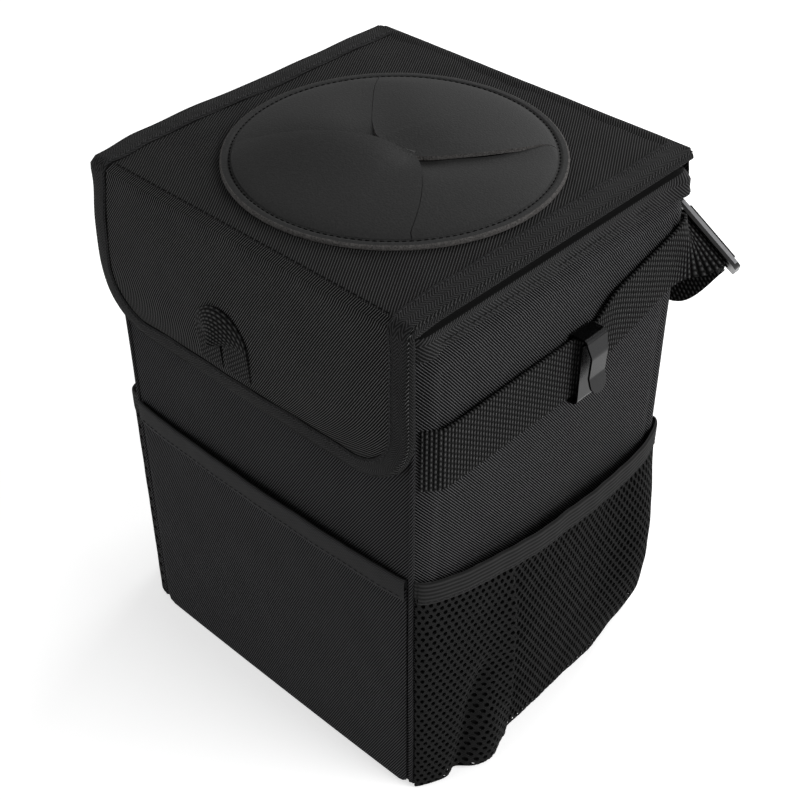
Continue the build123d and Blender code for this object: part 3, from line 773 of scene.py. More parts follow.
class BIN_OT_rim(bpy.types.Operator):
    """Folded tape over the wall tops, the liner and its floor."""

    bl_idname = "bin.rim"
    bl_label = "Rim and liner"

    def execute(self, context):
        sizes = context.scene.bin_sizes
        table = ring_line(HALF_WIDTH, HALF_DEPTH, radius=6.0, count=700)
        around = line_length(table)
        section = even_line([
            (0.9, RIM_LOW), (1.5, RIM_LOW + 0.5), (1.6, RIM_LOW + 1.6), (1.2, RIM_LOW + 3.0),
            (1.1, RIM_LOW + 6), (1.1, RIM_TOP - 2.8), (0.6, RIM_TOP - 2.0), (-0.5, RIM_TOP - 1.5),
            (-0.9, RIM_TOP - 0.9), (-1.8, RIM_TOP - 0.2), (-4.6, RIM_TOP), (-5.5, RIM_TOP - 0.4),
            (-5.9, RIM_TOP - 1.4), (-5.9, RIM_LOW + 4), (-5.7, RIM_LOW)], 60)

        def tape(u, v):
            here = at(table, u)
            cut = at(section, v)
            along = u * around
            low = np.clip((RIM_TOP - 2 - cut[:, 1]) / (RIM_TOP - RIM_LOW), 0, 1) * (cut[:, 0] > 0)
            wavy = low * (0.7 * ripple(along, along * 0, 46.0, 5) + 0.4 * ripple(along, along * 0, 17.0, 6))
            corner = np.hypot(np.abs(here[:, 0]) - HALF_WIDTH, here[:, 1] - HALF_DEPTH)
            bump = np.hypot(here[:, 0] - HALF_WIDTH, here[:, 1] + HALF_DEPTH - 7.0)
            near = bell(corner, 14.0) * (cut[:, 0] > 0)
            aside = 4.4 * near * ease(RIM_TOP - cut[:, 1], 2.0, 5.0)
            behind = 2.0 * near * ease(RIM_TOP - cut[:, 1], 9.0, 14.0)
            out = cut[:, 0] + np.clip(wavy, -0.3, 1.2) + 1.6 * bell(bump, 5.0) * low
            z = cut[:, 1] + low * 0.5 * ripple(along, along * 0, 58.0, 7)
            return here[:, 0] + here[:, 3] * (out + aside), here[:, 1] + here[:, 4] * (out + behind), z

        flat = (around, 30.0)
        piece = cloth("rim_tape", (420, 40), flat, tape, thickness=0.5)
        dress(piece, "rim_tape", "bin", ["rim_binding"])
        # Painted shade on the rim tape's top, in the gap under the lid's edge
        second_material(piece, "dark_thread", lambda face: face.center.z > (RIM_TOP - 2.4) * MM)
        sheet(piece)
        lift = np.hstack([table[:, 3:5], table[:, 2:3]])
        row = table[:, :3] + lift * 1.35
        row[:, 2] = RIM_LOW + 3.4
        stitches("rim_stitches", row, lift, sizes, "bin")
        inner = ring_line(LINER_X - 0.35, LINER_Y - 0.35, radius=4.0, count=400)
        inner_run = line_length(inner)

        def wall(u, v):
            here = at(inner, 1 - u)
            z = LINER_FLOOR + 0.3 + v * (RIM_TOP - 4 - LINER_FLOOR)
            slack = 0.35 * ripple(u * inner_run, z, 70.0, 8) * np.sin(np.pi * v) - 0.2
            return here[:, 0] + here[:, 3] * slack, here[:, 1] + here[:, 4] * slack, z

        flat = (inner_run, RIM_TOP - 4 - LINER_FLOOR)
        piece = cloth("liner_wall", (200, 60), flat, wall)
        dress(piece, "lining", "bin", ["liner"])
        sheet(piece)

        def floor(u, v):
            x = span(u, LINER_X - 0.4)
            y = span(v, LINER_Y - 0.4)
            swell = 0.5 * ripple(x, y, 60.0, 9) * (1 - (2 * u - 1) ** 2) * (1 - (2 * v - 1) ** 2)
            return x, y, LINER_FLOOR + 0.6 + swell

        flat = (2 * LINER_X, 2 * LINER_Y)
        piece = cloth("liner_floor", (50, 50), flat, floor)
        dress(piece, "lining", "bin")
        sheet(piece)
        return {"FINISHED"}


# Lid and flap

def sheet_middle(run):
    """Middle of the sheet at a run from the back edge: y, z, outward normal and share of the fold."""
    turn = np.clip((run - LID_RUN) / FOLD_RUN, 0.0, 1.0) * math.pi / 2
    down = np.clip(run - LID_RUN - FOLD_RUN, 0.0, None)
    back = np.minimum(run, LID_RUN)
    y = LID_BACK - back - FOLD_RADIUS * np.sin(turn)
    z = FOLD_Z + FOLD_RADIUS * np.cos(turn) - down
    return y, z, -np.sin(turn), np.cos(turn), turn / (math.pi / 2)


def sheet_half(run):
    """Half of the sheet's width there."""
    return LID_HALF + (FLAP_HALF - LID_HALF) * ease(run, LID_RUN - 6, LID_RUN + FOLD_RUN + 2)


def sheet_swell(x, run):
    """Unevenness of the lid and flap, along their normal."""
    on_lid = ease(LID_RUN - run, 4.0, 30.0)
    lid = 0.4 * ripple(x, run, 62.0, 11) * on_lid
    on_flap = ease(run - LID_RUN - FOLD_RUN, 4.0, 30.0)
    flap = (0.45 * ripple(x, run, 70.0, 12) + 0.3) * on_flap
    share = np.clip((run - LID_RUN - FOLD_RUN) / FLAP_RUN, 0.0, 1.0)
    flap = flap + 1.4 * np.sin(np.pi * share ** 0.8) * (1 - (x / LID_HALF) ** 4)
    return lid + flap


def sheet_edge(count):
    """The sheet's bound edge from the back left round the flap to the back right: x, run, way in."""
    bend = SHEET_RUN - FLAP_CORNER
    rows = [(-1.0, t, 1.0, 0.0) for t in np.linspace(0.0, bend, 120)]
    for turn in np.linspace(0, 90, 26)[1:]:
        c, s = math.cos(math.radians(turn)), math.sin(math.radians(turn))
        rows.append((-(FLAP_HALF - FLAP_CORNER) - FLAP_CORNER * c, bend + FLAP_CORNER * s, c, -s))
    rows = [(-sheet_half(np.array([r[1]]))[0] if r[0] == -1.0 else r[0], *r[1:]) for r in rows]
    bottom = [(x, SHEET_RUN, 0.0, -1.0) for x in np.linspace(-(FLAP_HALF - FLAP_CORNER), 0.0, 40)[1:]]
    left = rows + bottom
    right = [(-x, run, -ix, ir) for x, run, ix, ir in reversed(left[:-1])]
    table = np.array(left + right)
    flat = np.hstack([table[:, :2], np.zeros((len(table), 1)), table[:, 2:]])
    return even_line(flat, count)


def tucked(x, run):
    """The sheet's left edge swells out beside the disc and draws in at the fold."""
    swell = ease(run, 82.0, 114.0) * (1 - ease(run, LID_RUN - 24.0, LID_RUN - 6.0))
    fold = bell(run - LID_RUN - 8.0, 14.0)
    tuck = -1.2 - 1.6 * swell + 2.8 * fold - 1.0 * ease(run, LID_RUN + 30.0, LID_RUN + 50.0)
    return x + tuck * (LID_HALF - x) / (2 * LID_HALF)


def on_sheet(x, run, out):
    """A point that far outside the sheet's middle."""
    y, z, ny, nz, _ = sheet_middle(run)
    return tucked(x, run), y + ny * out, z + nz * out


class BIN_OT_lid(bpy.types.Operator):
    """Lid and flap: one cover over both, linings, bound edge, stitches, closure tape and hinge cloth."""

    bl_idname = "bin.lid"
    bl_label = "Lid and flap"

    def execute(self, context):
        sizes = context.scene.bin_sizes

        def half_here(run):
            low = np.clip(FLAP_CORNER - (SHEET_RUN - run), 0, FLAP_CORNER)
            return sheet_half(run) - FLAP_CORNER + np.sqrt(np.maximum(FLAP_CORNER ** 2 - low ** 2, 0))

        def cover(u, v):
            run = (1 - v) * SHEET_RUN
            x = span(u, half_here(run))
            turn = sheet_middle(run)[-1]
            out = LID_HALF_THICK + (FLAP_HALF_THICK - LID_HALF_THICK) * turn + sheet_swell(x, run)
            return on_sheet(x, run, out)

        flat = (2 * FLAP_HALF, SHEET_RUN + 2)
        corners = (4 - math.pi) / 2 * FLAP_CORNER ** 2
        hole = math.pi * HOLE_RADIUS ** 2
        piece = cloth("lid_cover_cloth", (84, 130), flat, cover, thickness=1.3)
        cut_disc(piece, HOLE_RADIUS)
        dress(piece, "flap_twill", None, ["lid_cover", "flap_cover"])
        # Painted shade: the lid's top faces take the darker lid twill, though they are one cloth with the
        # flap
        second_material(piece, "lid_twill", lambda face: face.center.y > FOLD_Y * MM)
        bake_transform(piece)
        sheet(piece, flat[0] * flat[1] - corners - hole)

        def lid_lining(u, v):
            x = span(u, LID_HALF - 1.7)
            y = LID_BACK - 0.2 - v * (LID_BACK - FOLD_Y - 0.6)
            return tucked(x, LID_BACK - y), y, LID_LOW + 0.15 * ripple(x, y, 60.0, 13)

        flat = (2 * LID_HALF, LID_BACK - FOLD_Y)
        piece = cloth("lid_lining_cloth", (60, 60), flat, lid_lining, thickness=0.8)
        cut_disc(piece, HOLE_RADIUS)
        dress(piece, "lining", "lid", ["lid_lining"])
        sheet(piece, flat[0] * flat[1] - hole)

        def flap_lining(u, v):
            run = LID_RUN + FOLD_RUN + v * (FLAP_RUN - 0.3)
            x = span(u, half_here(run) - 0.3)
            return on_sheet(x, run, -FLAP_HALF_THICK - 0.05 * ripple(x, run, 40.0, 14))

        flat = (2 * FLAP_HALF, FLAP_RUN)
        piece = cloth("flap_lining_cloth", (60, 36), flat, flap_lining, thickness=0.7)
        dress(piece, "lining", "flap", ["flap_lining"])
        sheet(piece, flat[0] * flat[1] - corners)

        edge = sheet_edge(900)
        around = line_length(edge)
        section = np.array([
            (TAPE_WIDTH, 0.55), (TAPE_WIDTH - 0.2, 0.9), (TAPE_WIDTH - 1.2, 0.98), (6.0, 0.95),
            (1.6, 0.85), (0.2, 0.55), (-0.75, 0.1), (-0.9, -0.35), (-0.6, -0.75), (0.6, -0.95),
            (3.0, -1.0), (TAPE_WIDTH, -1.0)])
        scale = np.array([1.0, 3.0])
        section = even_line(section * scale, 34) / scale

        def tape(u, v):
            here = at(edge, u)
            cut = at(section, v)
            narrow = 1 - 0.24 * ease(here[:, 1], LID_RUN - 12.0, LID_RUN + 18.0)
            inward = np.where(cut[:, 0] > 0, cut[:, 0] * narrow, cut[:, 0])
            x = here[:, 0] + here[:, 3] * inward
            run = here[:, 1] + here[:, 4] * inward
            turn = sheet_middle(run)[-1]
            top = LID_HALF_THICK + 0.85 + (FLAP_HALF_THICK - LID_HALF_THICK) * turn
            fold = np.sin(np.pi * turn)
            bevel = np.clip((2.4 - cut[:, 0]) / 3.0, 0.0, 1.0)
            bevel = bevel * (1 - ease(run, LID_RUN - 16.0, LID_RUN - 2.0))
            under = (top - 0.35) * (1 - 0.55 * fold) * (1 - 0.42 * bevel)
            level = np.clip(cut[:, 1], -1, 1)
            upper = top + sheet_swell(x, run) * ease(cut[:, 0], 0.0, 6.0)
            wavy = 0.28 * ripple(u * around, cut[:, 0], 24.0, 15) * ease(cut[:, 0], 1.0, 9.0)
            out = np.where(level > 0, level * upper + wavy, level * under)
            return on_sheet(x, run, out)

        flat = (around, 31.0)
        piece = cloth("edge_tape", (460, 26), flat, lambda u, v: tape(1 - u, v), thickness=0.5)
        dress(piece, "tape", None, ["left_lid_binding", "right_lid_binding", "flap_binding"])
        # Painted shade on the tape's inner riser, a dark line along its inner edge
        second_material(piece, "dark_thread", lambda face: across_weave(piece, face) < 1.1)
        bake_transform(piece)
        sheet(piece)

        share = np.linspace(0.004, 0.996, 900)
        sewn = share_near(section[:, 0], TAPE_WIDTH - 1.9, hidden=section[:, 1] < 0)
        row = np.stack(tape(share, np.full(900, sewn)), axis=1)
        inner = np.stack(tape(share, np.full(900, sewn + 0.06)), axis=1)
        along = np.gradient(row, axis=0)
        lift = np.cross(along, inner - row)
        lift = lift * np.sign(lift[450] @ np.array([0.0, -1.0, 0.0]))
        piece = stitches("edge_stitches", row + unit(lift) * 0.05, lift, sizes)
        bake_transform(piece)

        x = np.linspace(-(LID_HALF - TAPE_WIDTH), LID_HALF - TAPE_WIDTH, 200)
        run = np.full(200, LID_RUN - 1.0)
        row = np.stack(on_sheet(x, run, LID_HALF_THICK + sheet_swell(x, run) + 0.05), axis=1)
        # The fold's stitches take painted shade, as stitches sunk in the seam
        piece = stitches("fold_stitches", row, (0.0, -0.2, 1.0), sizes, thread="dark_thread")
        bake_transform(piece)

        for name, (low, high), face, body, material, under in (
                ("loop_tape", LOOP_TAPE, -1, "bin", "loop_pile", "front_panel_cloth"),
                ("hook_tape", HOOK_TAPE, 1, "flap", "hook_pile", "flap_lining_cloth")):
            width, tall = high.x - low.x, high.z - low.z
            root = high.y if face < 0 else low.y
            rise = high.y - low.y

            def pile(u, v):
                x = -face * (u - 0.5) * width
                z = low.z + v * tall
                edge_in = rounded_inset(x, z, width / 2, low.z, high.z, radius=2.0)
                tuft = 0.12 * np.sin(x * 9.7 + 3 * np.sin(z * 7.3)) * np.sin(z * 11.9 + 2 * np.sin(x * 5.1))
                deep = 0.15 + (rise - 0.3) * np.sqrt(np.clip(edge_in / 1.2, 0, 1))
                return x, root + face * (deep + tuft), z

            piece = cloth(name + "_pile", (160, 38), (width, tall), pile)
            dress(piece, material, body, [name])
            sheet(piece)

        path = smooth_line([
            (LID_BACK - 6.0, LID_TOP - 0.3), (LID_BACK - 1.0, LID_TOP + 0.7),
            (LID_BACK + 2.0, LID_TOP - 0.1), (LID_BACK + 3.2, LID_TOP - 2.2),
            (LID_BACK + 2.6, RIM_TOP + 0.8), (LID_BACK + 2.0, RIM_TOP - 4),
            (LID_BACK + 1.4, RIM_TOP - 12), (LID_BACK + 0.5, RIM_TOP - 21.5)], 60)
        tall = line_length(path)

        def hinge(u, v):
            here = at(path, 1 - v)
            x = -span(u, HALF_WIDTH - 1.8)
            wavy = 0.3 * ripple(x, v * tall, 45.0, 16) * np.sin(np.pi * v)
            bulge = 2.6 * bell(here[:, 1] - RIM_TOP + 9.0, 7.0)
            return x, here[:, 0] + wavy + bulge, here[:, 1]

        flat = (2 * HALF_WIDTH, tall)
        piece = cloth("hinge_cloth", (60, 40), flat, hinge, thickness=0.6)
        dress(piece, "lid_twill", None, ["hinge_tape"])
        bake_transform(piece)
        sheet(piece)
        return {"FINISHED"}


# Petals: where the slits cross and the points they run through, in plan
CROSSING = (17.5, -4.5)
SLITS = {
    "left": [CROSSING, (9.5, -7.4), (-0.8, -12.7), (-10.6, -18.9), (-20.5, -24.6), (-30.4, -30.7),
             (-40.8, -36.6), (-50.0, -40.6)],
    "upper": [CROSSING, (7.0, -4.0), (-2.9, -3.6), (-9.3, 0.0), (-17.2, 6.8), (-28.0, 18.4),
              (-39.0, 30.9), (-46.1, 41.0)],
    "right": [CROSSING, (25.2, 1.0), (35.8, 13.3), (43.2, 29.7), (46.6, 44.5)],
    "lower": [CROSSING, (27.4, -11.1), (35.7, -19.6), (42.5, -28.3), (47.6, -36.6), (50.4, -41.9)],
}

# Each petal with its two slits and the way from the disc's centre to its hinge
PETALS = (
    ("front", "left", "lower", (0.0, -1.0)),
    ("right", "lower", "right", (1.0, 0.0)),
    ("back", "right", "upper", (0.0, 1.0)),
    ("left", "upper", "left", (-1.0, 0.0)),
)

# Depth and spread of each petal's dip at the crossing
PETAL_SINKS = {"front": (1.6, 10.0), "right": (3.0, 13.0), "back": (2.0, 17.0), "left": (4.6, 19.0)}

# Edges that lift or tuck: slit, share of the lift, reach from the slit, shares where it starts and ends
PETAL_EDGES = {
    "front": (("left", 1.0, 24.0, -0.06, 1.0),),
    "right": (("right", -0.34, 12.0, -0.3, 0.97),),
    "back": (("upper", -0.42, 16.0, 0.0, 0.9), ("right", 0.14, 12.0, 0.0, 1.0)),
    "left": (("left", -0.42, 12.0, 0.0, 1.0), ("upper", -0.42, 16.0, 0.0, 0.9)),
}

# Thickness of each petal
PETAL_THICK = 1.8


def dome(x, y):
    """Height of the plain dome over its foot; x and y are from the disc's centre."""
    return DOME_RISE * np.maximum(1 - (x ** 2 + y ** 2) / DOME_RADIUS ** 2, 0.0) ** 0.72


def slit_line(slit):
    """A slit's curve in plan from the crossing to the dome's foot, from the disc's centre."""
    points = [(x - DISC_X, y + DISC_CENTRE_Y - DISC_Y, 0.0) for x, y in SLITS[slit]]
    end = unit(np.array(points[-1])) * DOME_RADIUS
    return smooth_line(points + [tuple(end)], 80)


def beside_slit(x, y, slit):
    """How far along a slit a point is, from 0 at the crossing to 1 at its end, and its distance from it."""
    line = slit_line(slit)
    apart = np.hypot(x[:, None] - line[None, :, 0], y[:, None] - line[None, :, 1])
    return apart.argmin(axis=1) / (len(line) - 1), apart.min(axis=1)


def petal_height(petal, x, y, lift):
    """Height of a petal's top: the dome, sunk at the crossing, with lifted and tucked edges."""
    cross_x, cross_y = CROSSING[0] - DISC_X, CROSSING[1] + DISC_CENTRE_Y - DISC_Y
    depth, spread = PETAL_SINKS[petal]
    z = dome(x, y) - depth * bell(np.hypot(x - cross_x, y - cross_y), spread)
    for slit, share, reach, low, high in PETAL_EDGES[petal]:
        along, aside = beside_slit(x, y, slit)
        swell = np.sin(np.pi * np.clip((along - low) / (high - low), 0, 1))
        z = z + share * lift * swell * bell(aside, reach)
    return z


class BIN_OT_disc(bpy.types.Operator):
    """Moulded disc: flange with its stitches and four petals."""

    bl_idname = "bin.disc"
    bl_label = "Disc"

    def execute(self, context):
        sizes = context.scene.bin_sizes
        stitch_radius = DOME_RADIUS + 1.0
        section = even_line([
            (DOME_RADIUS - 3.6, -2.2), (RIM_RADIUS - 0.3, -2.15), (RIM_RADIUS, -1.8),
            (RIM_RADIUS - 0.05, -0.5), (RIM_RADIUS - 0.5, -0.05), (stitch_radius + 1.2, 0.1),
            (stitch_radius + 0.5, -0.2), (stitch_radius, -0.4), (stitch_radius - 0.5, -0.2),
            (DOME_RADIUS - 0.3, -0.1), (DOME_RADIUS - 3.4, -0.3)], 64)

        def flange(u, v):
            cut = at(section, v)
            angle = 2 * math.pi * u
            wavy = 0.15 * ripple(angle * 66, angle * 0, 52.0, 17) * (cut[:, 1] > -1.5)
            return (DISC_X + cut[:, 0] * np.cos(angle), DISC_Y + cut[:, 0] * np.sin(angle),
                    FLANGE_TOP + cut[:, 1] + wavy)

        piece = cloth("disc_flange", (240, 56), (450.0, 22.0), flange, sharp=60.0)
        weld(piece)
        dress(piece, "rubber", "lid", ["disc_rim"])
        second_material(piece, "cut_edge", lambda face: math.hypot(
            face.center.x / MM - DISC_X, face.center.y / MM - DISC_Y) > RIM_RADIUS - 0.7)
        angle = np.linspace(0, 2 * math.pi, 500)
        row = np.stack([DISC_X + stitch_radius * np.cos(angle), DISC_Y + stitch_radius * np.sin(angle),
                        np.full(500, FLANGE_TOP - 0.25)], axis=1)
        # The flange's stitches take painted shade, as stitches sunk in their groove
        stitches("disc_stitches", row, (0.0, 0.0, 1.0), sizes, "lid", length=1.8, thread="dark_thread")
        for petal, first, second, away in PETALS:
            first_line, second_line = slit_line(first), slit_line(second)
            start = math.atan2(first_line[-1, 1], first_line[-1, 0])
            sweep = (math.atan2(second_line[-1, 1], second_line[-1, 0]) - start) % (2 * math.pi)

            def sector(u, v):
                share = 0.0015 + 0.997 * (1 - u)
                near, far = at(first_line, v), at(second_line, v)
                bow = v ** 1.6
                plan = []
                for k, arc in enumerate((np.cos, np.sin)):
                    flat = near[:, k] * (1 - share) + far[:, k] * share
                    chord = first_line[-1, k] * (1 - share) + second_line[-1, k] * share
                    plan.append(flat + bow * (DOME_RADIUS * arc(start + sweep * share) - chord))
                x, y = plan
                z = np.maximum(petal_height(petal, x, y, sizes.petal_lift), -0.05)
                return DISC_X + x, DISC_Y + y, FLANGE_TOP + z

            piece = cloth(petal + "_petal_dome", (60, 52), (70.0, 60.0), sector)
            dress(piece, "rubber", None, [petal + "_petal"])
            piece.data.materials.append(MATERIALS["cut_edge" if petal == "back" else "rubber"])
            modify(piece, "SOLIDIFY", thickness=PETAL_THICK * MM, offset=-1.0, material_offset_rim=1)
            smooth(piece, 40.0)
            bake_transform(piece)
        return {"FINISHED"}


# Pockets: where the front pocket's cloth starts
POCKET_FOOT = 0.2


def front_pocket_out(x, z):
    """How far the front pocket's cloth stands off the panel."""
    rise = np.clip((z - 6.0) / (POCKET_TOP - 6.0), 0.0, 1.2)
    bow = np.maximum(1 - (x / POCKET_HALF) ** 2, 0.0) ** 0.7
    return 1.8 + (0.6 + 2.6 * rise) * bow


class BIN_OT_front_pocket(bpy.types.Operator):
    """Front pocket of twill with a folded satin tape along its top."""

    bl_idname = "bin.front_pocket"
    bl_label = "Front pocket"

    def execute(self, context):
        sizes = context.scene.bin_sizes

        def pocket(u, v):
            x = span(u, POCKET_HALF)
            z = POCKET_FOOT + v * (POCKET_TOP + 6 - POCKET_FOOT)
            inset = rounded_inset(x, z, POCKET_HALF, POCKET_FOOT, POCKET_TOP + 60, radius=4.0)
            corner = np.clip(-inset, 0, None)
            out = front_pocket_out(x, z) + 0.35 * ripple(x, z, 66.0, 18) * ease(inset, 1.0, 14.0)
            out = out - 0.16 * np.clip(2.0 - inset, 0, 4) ** 2
            return x - np.sign(x) * corner * 0.7, -HALF_DEPTH - out, z + 0.7 * corner

        flat = (2 * POCKET_HALF + 2, POCKET_TOP + 5)
        piece = cloth("front_pocket_cloth", (76, 60), flat, pocket, thickness=1.0)
        dress(piece, "pocket_twill", "bin", ["front_pocket"])
        sheet(piece)
        section = even_line([
            (0.5, POCKET_TOP), (0.75, POCKET_TOP + 0.8), (0.85, POCKET_TOP + 6),
            (0.7, POCKET_BAND_TOP - 1.2), (0.1, POCKET_BAND_TOP - 0.2), (-0.7, POCKET_BAND_TOP - 0.2),
            (-1.3, POCKET_BAND_TOP - 1.2), (-1.4, POCKET_TOP + 6), (-1.3, POCKET_TOP + 0.5)], 40)

        def wavy(x, z):
            return 0.22 * ripple(x, z, 34.0, 19)

        def band(u, v):
            x = span(u, POCKET_HALF - 0.2)
            cut = at(section, v)
            z = cut[:, 1] + 0.35 * ripple(x, x * 0, 60.0, 20)
            return x, -HALF_DEPTH - front_pocket_out(x, z) - cut[:, 0] - wavy(x, cut[:, 1]), z

        flat = (2 * POCKET_HALF, 2 * (POCKET_BAND_TOP - POCKET_TOP) + 2)
        piece = cloth("front_pocket_tape", (110, 30), flat, band, thickness=0.4)
        dress(piece, "satin", "bin", ["front_pocket_binding"])
        sheet(piece)
        x = np.linspace(-POCKET_HALF + 2, POCKET_HALF - 2, 200)
        z = np.full(200, POCKET_TOP + 1.8)
        row = np.stack([x, -HALF_DEPTH - front_pocket_out(x, z) - 0.85 - wavy(x, z), z], axis=1)
        stitches("front_pocket_stitches", row, (0.0, -1.0, 0.0), sizes, "bin")
        return {"FINISHED"}


# Net pockets: bulge at foot and mouth, curl under the foot, and depth of the plan that sets the cut length
NET_BULGE_LOW = 11.0
NET_BULGE_HIGH = 11.5
NET_CURL = 9.0
NET_BOW = 15.0

# Height of the foot, pitch of the rows of holes to that of the holes, and how full each side's pocket stands
NET_FOOT = 2.2
NET_ROW = 0.85
NET_SWELL = {1: 1.0, -1: 1.25}


def net_table():
    """Even steps along the pocket's plan outline: y and the share of its bulge."""
    turn = np.linspace(-math.pi / 2, math.pi / 2, 400)
    y, bulge = NET_HALF * np.sin(turn), np.cos(turn)
    table = np.stack([y, bulge * NET_BOW, np.zeros(400), bulge], axis=1)
    return even_line(table, 400)


def mouth_lift(y):
    """The pocket's mouth slopes down towards the back."""
    return -5.6 - 0.0855 * y + 0.00075 * y ** 2


def net_shape(table, share, height, swell):
    """Point of the side pocket: share runs along it, height up it, below zero in the curl at its foot."""
    here = at(table, share)
    y, bow = here[:, 0], here[:, 3] ** (1.0 if swell == 1.0 else 0.6)
    up = np.clip(height / NET_TOP, 0.0, 1.2)
    bulge = NET_BULGE_LOW + (NET_BULGE_HIGH - NET_BULGE_LOW) * up
    foot = bell(y + 58.0, 17.0) * np.exp(-np.maximum(height, 0) / 26.0)
    middle = (1 - up) * 2.2 * bell(y - 10.0, 40.0)
    past = y + 33.0
    tall = np.clip(np.sin(np.pi * np.clip((height + 4) / (NET_TOP + 0.5), 0, 1)), 0, 1) ** 0.6
    before = 5.4 * np.exp(np.minimum(past, 0) / 11.0)
    after = -4.6 * np.exp(-np.maximum(past, 0) / 8.0)
    crease = (before + (after - before) * ease(past, -0.6, 1.8)) * tall
    valley = -5.0 * bell(y + 63.0 - 0.22 * height, 5.0) * ease(80.0 - height, 0.0, 45.0)
    lobe = 4.2 * bell(y + 46.0, 9.0) * bell(height - 12.0, 22.0)
    rear = 15.0 * bell(y - 68.0, 20.0)
    rear = rear * (np.sin(np.pi * np.clip(up, 0, 1)) ** 0.7 - 0.35 * (1 - ease(height, 0.0, 30.0)))
    out = bow * (bulge + rear + 7.0 * foot - middle)
    out = out + (crease + valley + lobe) * np.minimum(1.0, 1.6 * bow)
    slack = 0.5 * ripple(y, height, 38.0, 21) * bow
    under = np.clip(-height / NET_CURL, 0.0, 1.0)
    out = (out + slack) * np.cos(under * math.pi / 2 * 0.9)
    z = np.where(height > 0, height + NET_FOOT, NET_FOOT - 1.6 * np.sin(under * math.pi / 2))
    return HALF_WIDTH + 0.4 + np.maximum(out, 0.0) * swell, y, z + mouth_lift(y) * np.clip(up, 0, 1) ** 1.5


def net_piece(name, face, sizes):
    """A net with a hole in each six-sided cell, laid over the pocket's form."""
    table = net_table()
    length = line_length(np.stack([table[:, 0], table[:, 3] * NET_BOW], axis=1))
    tall = NET_TOP + NET_CURL + 2
    columns = int(length / sizes.net)
    pitch = length / columns
    row_pitch = pitch * NET_ROW
    rows = int(tall / row_pitch)
    flat_points, index, faces = [], {}, []
    hexagon = [(0.0, 2 / 3), (0.5, 1 / 3), (0.5, -1 / 3), (0.0, -2 / 3), (-0.5, -1 / 3), (-0.5, 1 / 3)]
    outline = []
    for a, b in zip(hexagon, hexagon[1:] + hexagon[:1]):
        outline += [a, ((a[0] + b[0]) / 2, (a[1] + b[1]) / 2)]
    hole = sizes.net_hole / pitch / 2

    def corner(a, b):
        key = (round(a * 12), round(b * 12))
        if key not in index:
            index[key] = len(flat_points)
            flat_points.append((a, b))
        return index[key]

    for row in range(rows + 1):
        for column in range(columns + 1):
            a, b = column + 0.5 * (row % 2), float(row)
            outer = [corner(a + p, b + q) for p, q in outline]
            first = len(flat_points)
            behind = float(ease(np.array(a / columns), 0.31, 0.34))
            wide, high = hole * (1 - 0.1 * behind), hole * (1.3 + 0.6 * behind)
            for p, q in outline:
                angle = math.atan2(q * NET_ROW, p)
                flat_points.append((a + wide * math.cos(angle), b + high * math.sin(angle)))
            for k in range(len(outline)):
                j = (k + 1) % len(outline)
                faces.append((outer[k], first + k, first + j, outer[j]))
    flat_points = np.array(flat_points)
    share = np.clip(flat_points[:, 0] / columns, 0.0, 1.0)
    height = np.clip(NET_TOP + 2 - flat_points[:, 1] * row_pitch, -NET_CURL, NET_TOP + 2)
    x, y, z = net_shape(table, share, height, NET_SWELL[face])
    piece = mesh_piece(name, np.stack([face * x, y, z], axis=1), faces)
    corners = np.empty(len(piece.data.loops), dtype=np.int32)
    piece.data.loops.foreach_get("vertex_index", corners)
    piece.data.uv_layers.active.data.foreach_set("uv", (flat_points[corners] * pitch).ravel())
    bpy.ops.object.mode_set(mode="EDIT")
    bpy.ops.mesh.select_all(action="SELECT")
    bpy.ops.mesh.dissolve_degenerate(threshold=0.05 * MM)
    bpy.ops.mesh.select_all(action="SELECT")
    bpy.ops.mesh.normals_make_consistent(inside=False)
    bpy.ops.object.mode_set(mode="OBJECT")
    modify(piece, "SOLIDIFY", thickness=0.7 * MM, offset=0.0)
    smooth(piece, 60.0)
    return piece, length, tall


